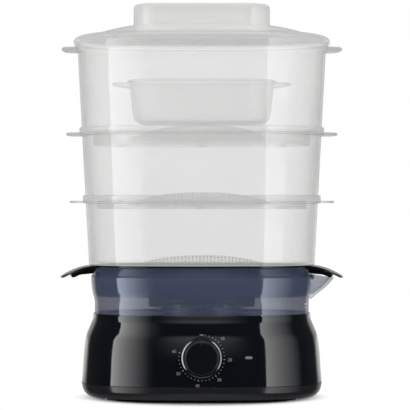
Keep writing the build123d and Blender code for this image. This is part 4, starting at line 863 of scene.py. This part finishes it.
def subdivided(section):
    """A closed section with points added along its long edges."""
    out = []
    for a, b in zip(section, section[1:] + section[:1]):
        out.append(a)
        if math.hypot(b[0] - a[0], b[1] - a[1]) > LONG_EDGE:
            out += [(a[0] + (b[0] - a[0]) * k / EDGE_PARTS, a[1] + (b[1] - a[1]) * k / EDGE_PARTS)
                    for k in range(1, EDGE_PARTS)]
    return out


def bowl(name):
    """One bowl: its shell, the two finger tabs of its rim and the lugs in its foot."""
    low, top = span(name)
    ledge = top - LIP_HEIGHT
    seat = low + BOWL_WELLS[name]
    lip = wall_offset(ledge) + LIP_REACH
    foot = wall_offset(seat)
    well = foot - WELL_INSET
    section = fillet([
        (foot, seat, 0.9), (wall_offset(ledge - LIP_UNDER), ledge - LIP_UNDER, 0.7),
        (lip, ledge - LIP_UNDER, 0.7), (lip, top, 0.6), (lip - LIP_THICK, top, 0.6),
        (lip - LIP_THICK, ledge, 0.5),
        (wall_offset(ledge) - BOWL_WALL, ledge, 0.8), (foot - BOWL_WALL, seat + BOWL_WALL, 1.6),
        (well - BOWL_WALL, seat + BOWL_WALL, 1.2), (well - BOWL_WALL, low, 0.5), (well, low, 0.5),
        (well, seat, 1.0)])
    shell = loft(name + "_shell", [oval(o, z) for o, z in subdivided(section)], BOWL, closed=True)
    if name != "bowl_3":
        thicken(shell, ledge - 3.0, top + 1.0)
    if name == "bowl_1":
        shell.data.materials.append(LID)
        for polygon in shell.data.polygons:
            if polygon.center.z < (seat + 0.5) * MM:
                polygon.material_index = 2
    stand_for(shell, name, name)
    for label, facing in SIDES:
        # the finger tabs take the dense darker look too: painted shade on their undersides
        offsets = (wall_offset(ledge) + 16.6, lip - 0.9)
        piece = tab(name + "_tab_" + label, BOWL_DENSE_PAINTED_SHADE, offsets, 45.0, 12.0, ledge - 1.6, 2.2, facing)
        dress(piece, name)
    dress(floor_lugs(name, well - BOWL_WALL, low), name)


for name in BOWL_WELLS:
    bowl(name)

# -------- removable floors, domed and perforated
HOLE_PITCH, HOLE_RADIUS, HOLE_SIDES, HOLE_COLUMNS = 7.5, 1.9, 8, 14
ROW_SHARE = 0.866  # rows lie this share of a pitch apart
DOME_EDGE, PLAIN_BORDER = 84.0, 5
FLOOR_THICK, FLOOR_INSET = 2.0, 13.9
FLOOR_SEATS = {"floor_1": 5.8, "floor_2": 5.8, "floor_3": 9.8}


def hole_centres():
    """Places of the holes: rows of one pitch, every second row moved by half of it."""
    out = []
    rows = int(DOME_EDGE / (HOLE_PITCH * ROW_SHARE)) + 1
    for j in range(-rows, rows + 1):
        for i in range(-HOLE_COLUMNS, HOLE_COLUMNS + 1):
            x = (i + (0.5 if j % 2 else 0.0)) * HOLE_PITCH
            y = j * HOLE_PITCH * ROW_SHARE
            if math.hypot(x, y) < DOME_EDGE - PLAIN_BORDER:
                out.append((x, y))
    return out


def dome_height(x, y, border, crest):
    """Height of a floor's upper face: a flat border and a low dome."""
    r = math.hypot(x, y)
    if r >= DOME_EDGE:
        return border
    share = 1 - (r / DOME_EDGE) ** 2
    rise = share * share * (3 - 2 * share) * 0.45 + share * 0.55
    return border + (crest - border) * rise


def perforated_sheet(edge):
    """A flat sheet between a floor's outline and its holes: its points and its faces."""
    points, edges = [], []

    def add_loop(loop):
        """Add a closed line to the sheet."""
        start = len(points)
        points.extend(Vector(p) for p in loop)
        edges.extend((start + i, start + (i + 1) % len(loop)) for i in range(len(loop)))

    add_loop([(x, y) for x, y, z in oval(edge, 0)])
    add_loop([(DOME_EDGE * math.cos(a), DOME_EDGE * math.sin(a)) for a in TURNS])
    hole_of = {}
    corners = [2 * math.pi * i / HOLE_SIDES for i in range(HOLE_SIDES)]
    for hole, (cx, cy) in enumerate(hole_centres()):
        hole_of.update({len(points) + i: hole for i in range(HOLE_SIDES)})
        add_loop([(cx + HOLE_RADIUS * math.cos(a), cy + HOLE_RADIUS * math.sin(a)) for a in corners])
    flat, _, faces, origin, _, _ = geometry.delaunay_2d_cdt(points, edges, [], 0, 1e-5)
    source = {new: old for new, olds in enumerate(origin) for old in olds}
    kept = []
    for face in faces:
        owners = {hole_of.get(source.get(v, -1), -1) for v in face}
        if len(owners) > 1 or -1 in owners:
            kept.append(face)
    return flat, kept


def floor_plate(name):
    """The sheet bent to the dome and given its thickness, with walls at its outline and holes."""
    low, crest = span(name)
    border = low + FLOOR_THICK
    flat, sheet = perforated_sheet(wall_offset(low + FLOOR_SEATS[name]) - FLOOR_INSET)
    n = len(flat)
    heights = [dome_height(p.x, p.y, border, crest) for p in flat]
    verts = [(p.x, p.y, z) for p, z in zip(flat, heights)]
    verts += [(p.x, p.y, max(z - FLOOR_THICK, low)) for p, z in zip(flat, heights)]
    faces = [tuple(f) for f in sheet] + [tuple(v + n for v in reversed(f)) for f in sheet]
    sides = {(a, b): None for f in sheet for a, b in zip(f, f[1:] + f[:1])}
    faces += [(b, a, a + n, b + n) for a, b in sides if (b, a) not in sides]
    plate = new_object(name + "_plate", verts, faces, FLOOR, smooth=35)
    # the walls of the holes take the darker grey: painted shade in the holes
    plate.data.materials.append(FLOOR_HOLE_SHADE)
    for polygon in plate.data.polygons:
        if abs(polygon.normal.z) < 0.5 and math.hypot(*polygon.center[:2]) < DOME_EDGE * MM:
            polygon.material_index = 1
    return plate


for name in FLOOR_SEATS:
    stand_for(floor_plate(name), name, name)

# -------- soup bowl
soup_low, soup_top = span("soup_bowl")
section = fillet([(-75.0, soup_low, 0), (-50.0, soup_low, 11.0), (-45.4, soup_top - 2.2, 0.5),
                  (-43.4, soup_top - 2.2, 0.5), (-43.4, soup_top, 0.6), (-47.4, soup_top, 0.6),
                  (-52.0, soup_low + 2.0, 9.0), (-75.0, soup_low + 2.0, 0)], closed=False)
soup = loft("soup_bowl_shell", [oval(o, z) for o, z in section], SOUP)
thicken(soup, soup_top - 3.0, soup_top + 1.0)
stand_for(soup, "soup_bowl", "soup_bowl")
for label, facing in SIDES:
    piece = tab("soup_bowl_tab_" + label, SOUP, (-27.8, -46.4), 30.0, 10.0, soup_top - 4.4, 2.2, facing,
                rows=40, root_drop=3.4)
    dress(piece, "soup_bowl")

# -------- lid
LID_SEAT, RIM_LEDGE = 364.2, 357.8
LID_SKIRT_TOP, LID_BRIM_TOP = 364.8, 372.6
CAP_LOW, CAP_EDGE, CAP_STEPS = 380.8, 4.5, 6


def cap_loops(lid_top):
    """The cap's outside, from its foot on the dome up to its rounded top edge."""
    loops = [rounded_box(141.6, 96.8, 28.9, CAP_LOW + 0.1), rounded_box(140.2, 95.4, 28.2, CAP_LOW + 0.5),
             rounded_box(139.8, 95.0, 28.0, CAP_LOW + 1.2)]
    for step in range(CAP_STEPS + 1):
        turn = math.pi / 2 * step / CAP_STEPS
        inset = CAP_EDGE * (1 - math.cos(turn))
        height = lid_top - CAP_EDGE * (1 - math.sin(turn))
        loops.append(rounded_box(139.4 - 2 * inset, 94.6 - 2 * inset, 27.8 - inset, height))
    return loops


def lid_shell():
    """The lid's outside with its cap, and its inside, joined at the skirt; both tops are closed by fans."""
    lid_top = span("lid")[1]
    skirt = wall_offset(RIM_LEDGE) + LIP_REACH + 0.4
    brim = spline([(skirt + 1.2, 365.0), (skirt + 0.8, 366.5), (skirt - 1.2, 368.5), (skirt - 4.2, 369.9),
                   (0.5, 371.3), (-8.0, 372.4), (-13.3, 373.2)])
    dome = spline([(-13.3, 373.2), (-20.0, 375.3), (-29.0, 377.5), (-40.0, 379.6), (-50.0, 380.9)])
    section = [(skirt + 1.2, LID_SEAT - 1.4)] + brim[:-1] + dome
    outer = [oval(o, z) for o, z in section] + cap_loops(lid_top)
    under_cap = [rounded_box(127.4, 82.6, 23.0, lid_top - 1.9), rounded_box(134.4, 89.6, 25.6, lid_top - 4.5),
                 rounded_box(136.2, 91.4, 26.2, CAP_LOW - 1.8)]
    section = [(-50.0, 379.0), (-40.0, 377.7), (-29.0, 375.6), (-20.0, 373.4), (-13.5, 371.4), (-8.0, 370.5),
               (0.5, 369.4), (skirt - 5.3, 368.2), (skirt - 4.3, 367.4), (skirt - 4.3, LID_SEAT - 2.6),
               (skirt - 2.5, LID_SEAT - 2.6), (skirt - 2.5, LID_SEAT), (skirt, LID_SEAT),
               (skirt, LID_SEAT - 1.4)]
    inner = under_cap + [oval(o, z) for o, z in section]
    verts, faces = loft_data(outer + inner, closed=True)
    n = len(STATIONS)
    cap_rim, ceiling_rim = (len(outer) - 1) * n, len(outer) * n
    between = {(cap_rim + i, cap_rim + (i + 1) % n, ceiling_rim + (i + 1) % n, ceiling_rim + i)
               for i in range(n)}
    faces = [f for f in faces if f not in between]
    for rim in (cap_rim, ceiling_rim):
        add_fan(verts, faces, rim, n, (0, 0, verts[rim][2]))
    return new_object("lid_shell", verts, faces, LID)


lid = lid_shell()
lid.data.materials.append(LID_BRIM)
lid.data.materials.append(LID_SKIRT)
for polygon in lid.data.polygons:
    height = polygon.center.z / MM
    if height < LID_BRIM_TOP:
        polygon.material_index = 1 if height > LID_SKIRT_TOP else 2
stand_for(lid, "lid", "lid")

# -------- floor, light and camera
AMBIENT, AMBIENT_GLOSS, BACKDROP_GLOSS = 0.78, 0.03, 0.36
FLOOR_GREY = (0.5, 0.5, 0.5, 1)
CONTACT_SHADOW, GLOSS_PATCH = (0.12, 0.135, 1), (0.125, 0.122, 1)


def behind(tree, vector):
    """The backdrop's glow in gloss: full straight behind the object, fading to none at the sides."""
    unit = add_node(tree, "VectorMath", {0: vector}, operation="NORMALIZE")
    split = add_node(tree, "SeparateXYZ", {"Vector": unit.outputs["Vector"]})
    return maths(tree, "MULTIPLY", eased(tree, split.outputs["Y"], 0.76, 0.98), BACKDROP_GLOSS)


def white_light(tree, vector):
    """1 for gloss rays, and the share of white: all of it to the camera, the backdrop's glow to gloss."""
    seen = light_path(tree, "Is Camera Ray", "Is Transmission Ray")
    glossy = light_path(tree, "Is Glossy Ray")
    return glossy, maths(tree, "MAXIMUM", seen, maths(tree, "MULTIPLY", glossy, behind(tree, vector)))


def ellipse_reach(tree, place, axes):
    """Distance from the middle, counted in an ellipse's half axes."""
    scaled = add_node(tree, "VectorMath", {0: place, 1: axes}, operation="DIVIDE")
    return add_node(tree, "VectorMath", {0: scaled.outputs["Vector"]}, operation="LENGTH").outputs["Value"]


def studio_world():
    """White to the camera, even light on the object, and nearly dark in gloss but for the backdrop."""
    world = bpy.data.worlds.new("studio")
    bpy.context.scene.world = world
    world.use_nodes = True
    tree = world.node_tree
    glossy, white = white_light(tree, add_node(tree, "TexCoord").outputs["Generated"])
    strength = maths(tree, "MAXIMUM", ranged(tree, glossy, AMBIENT, AMBIENT_GLOSS), white)
    feed(tree, tree.nodes["Background"], {"Color": (1, 1, 1, 1), "Strength": strength})


def floor_look():
    """White away from the object, grey under it, and clear to gloss rays beyond a patch round its foot."""
    mat = bpy.data.materials.new("studio_floor_look")
    mat.use_nodes = True
    tree = mat.node_tree
    tree.nodes.clear()
    place = add_node(tree, "TexCoord").outputs["Object"]
    far = eased(tree, ellipse_reach(tree, place, CONTACT_SHADOW), 0.82, 1.12)
    beyond = eased(tree, ellipse_reach(tree, place, GLOSS_PATCH), 0.9, 1.1)
    glossy, white = white_light(tree, place)
    grey = add_node(tree, "BsdfDiffuse", {"Color": FLOOR_GREY})
    opening = add_node(tree, "BsdfTransparent")
    glow = add_node(tree, "Emission")
    under = add_node(tree, "MixShader", {0: maths(tree, "MULTIPLY", glossy, beyond), 1: grey.outputs["BSDF"],
                                         2: opening.outputs["BSDF"]})
    whole = add_node(tree, "MixShader", {0: maths(tree, "MULTIPLY", far, white), 1: under.outputs["Shader"],
                                         2: glow.outputs["Emission"]})
    add_node(tree, "OutputMaterial", {"Surface": whole.outputs["Shader"]})
    return mat


studio_world()
bpy.ops.mesh.primitive_plane_add(size=60, location=(0, 0, 0))
ground = bpy.context.object
ground.name = "studio_floor"
ground.data.materials.append(floor_look())


def fade_across(tree, place):
    """Bright at one side of the panel, fading towards the other."""
    return maths(tree, "POWER", ranged(tree, place["X"], 1.0, 0.04), 1.5)


def fade_to_edges(tree, place):
    """Bright in the middle of the panel, fading to all its edges."""
    humps = []
    for axis in ("X", "Y"):
        away = maths(tree, "ABSOLUTE", maths(tree, "SUBTRACT", place[axis], 0.5))
        humps.append(eased(tree, away, 0.5, 0.1))
    return maths(tree, "MULTIPLY", *humps)


def softbox(name, place, aim, width, height, radiance, fade=None):
    """A lamp panel at a place, which looks at another and may fade over its face."""
    lamp = bpy.data.lights.new(name, "AREA")
    lamp.shape = "RECTANGLE"
    lamp.size, lamp.size_y = width, height
    lamp.energy = radiance * math.pi * width * height
    if fade:
        lamp.use_nodes = True
        tree = lamp.node_tree
        surface = add_node(tree, "NewGeometry")
        split = add_node(tree, "SeparateXYZ", {"Vector": surface.outputs["Parametric"]})
        feed(tree, tree.nodes["Emission"], {"Strength": fade(tree, split.outputs)})
    obj = bpy.data.objects.new(name, lamp)
    obj.location = place
    obj.rotation_euler = (Vector(aim) - Vector(place)).to_track_quat("-Z", "Y").to_euler()
    obj.visible_camera = False
    bpy.context.collection.objects.link(obj)


def around(azimuth, distance, height):
    """A place at an azimuth in degrees off the camera's side, positive towards +X."""
    a = math.radians(azimuth)
    return (distance * math.sin(a), -distance * math.cos(a), height)


softbox("softbox_left", around(-50, 1.5, 0.35), (0, 0, 0.35), 1.7, 2.5, 3.2, fade_across)
softbox("softbox_right", around(68, 1.5, 0.35), (0, 0, 0.35), 1.7, 2.5, 2.4, fade_across)
softbox("softbox_front", (0, -1.6, 0.8), (0, 0, 0.8), 1.3, 1.35, 0.45, fade_to_edges)
softbox("softbox_top", (0, 0.2, 1.9), (0, 0, 0.2), 1.3, 1.3, 1.3)

camera = bpy.data.cameras.new("camera")
camera.lens, camera.sensor_width = 242.6, 36.0
camera.clip_start, camera.clip_end = 0.1, 60
eye = bpy.data.objects.new("camera", camera)
eye.location = (0.0033, -2.85, 0.1975)
eye.rotation_euler = (math.pi / 2, 0, 0)
bpy.context.collection.objects.link(eye)
bpy.context.scene.camera = eye
bpy.context.scene.view_settings.view_transform = "Standard"
bpy.context.scene.cycles.transparent_max_bounces = 64

bpy.context.view_layer.update()
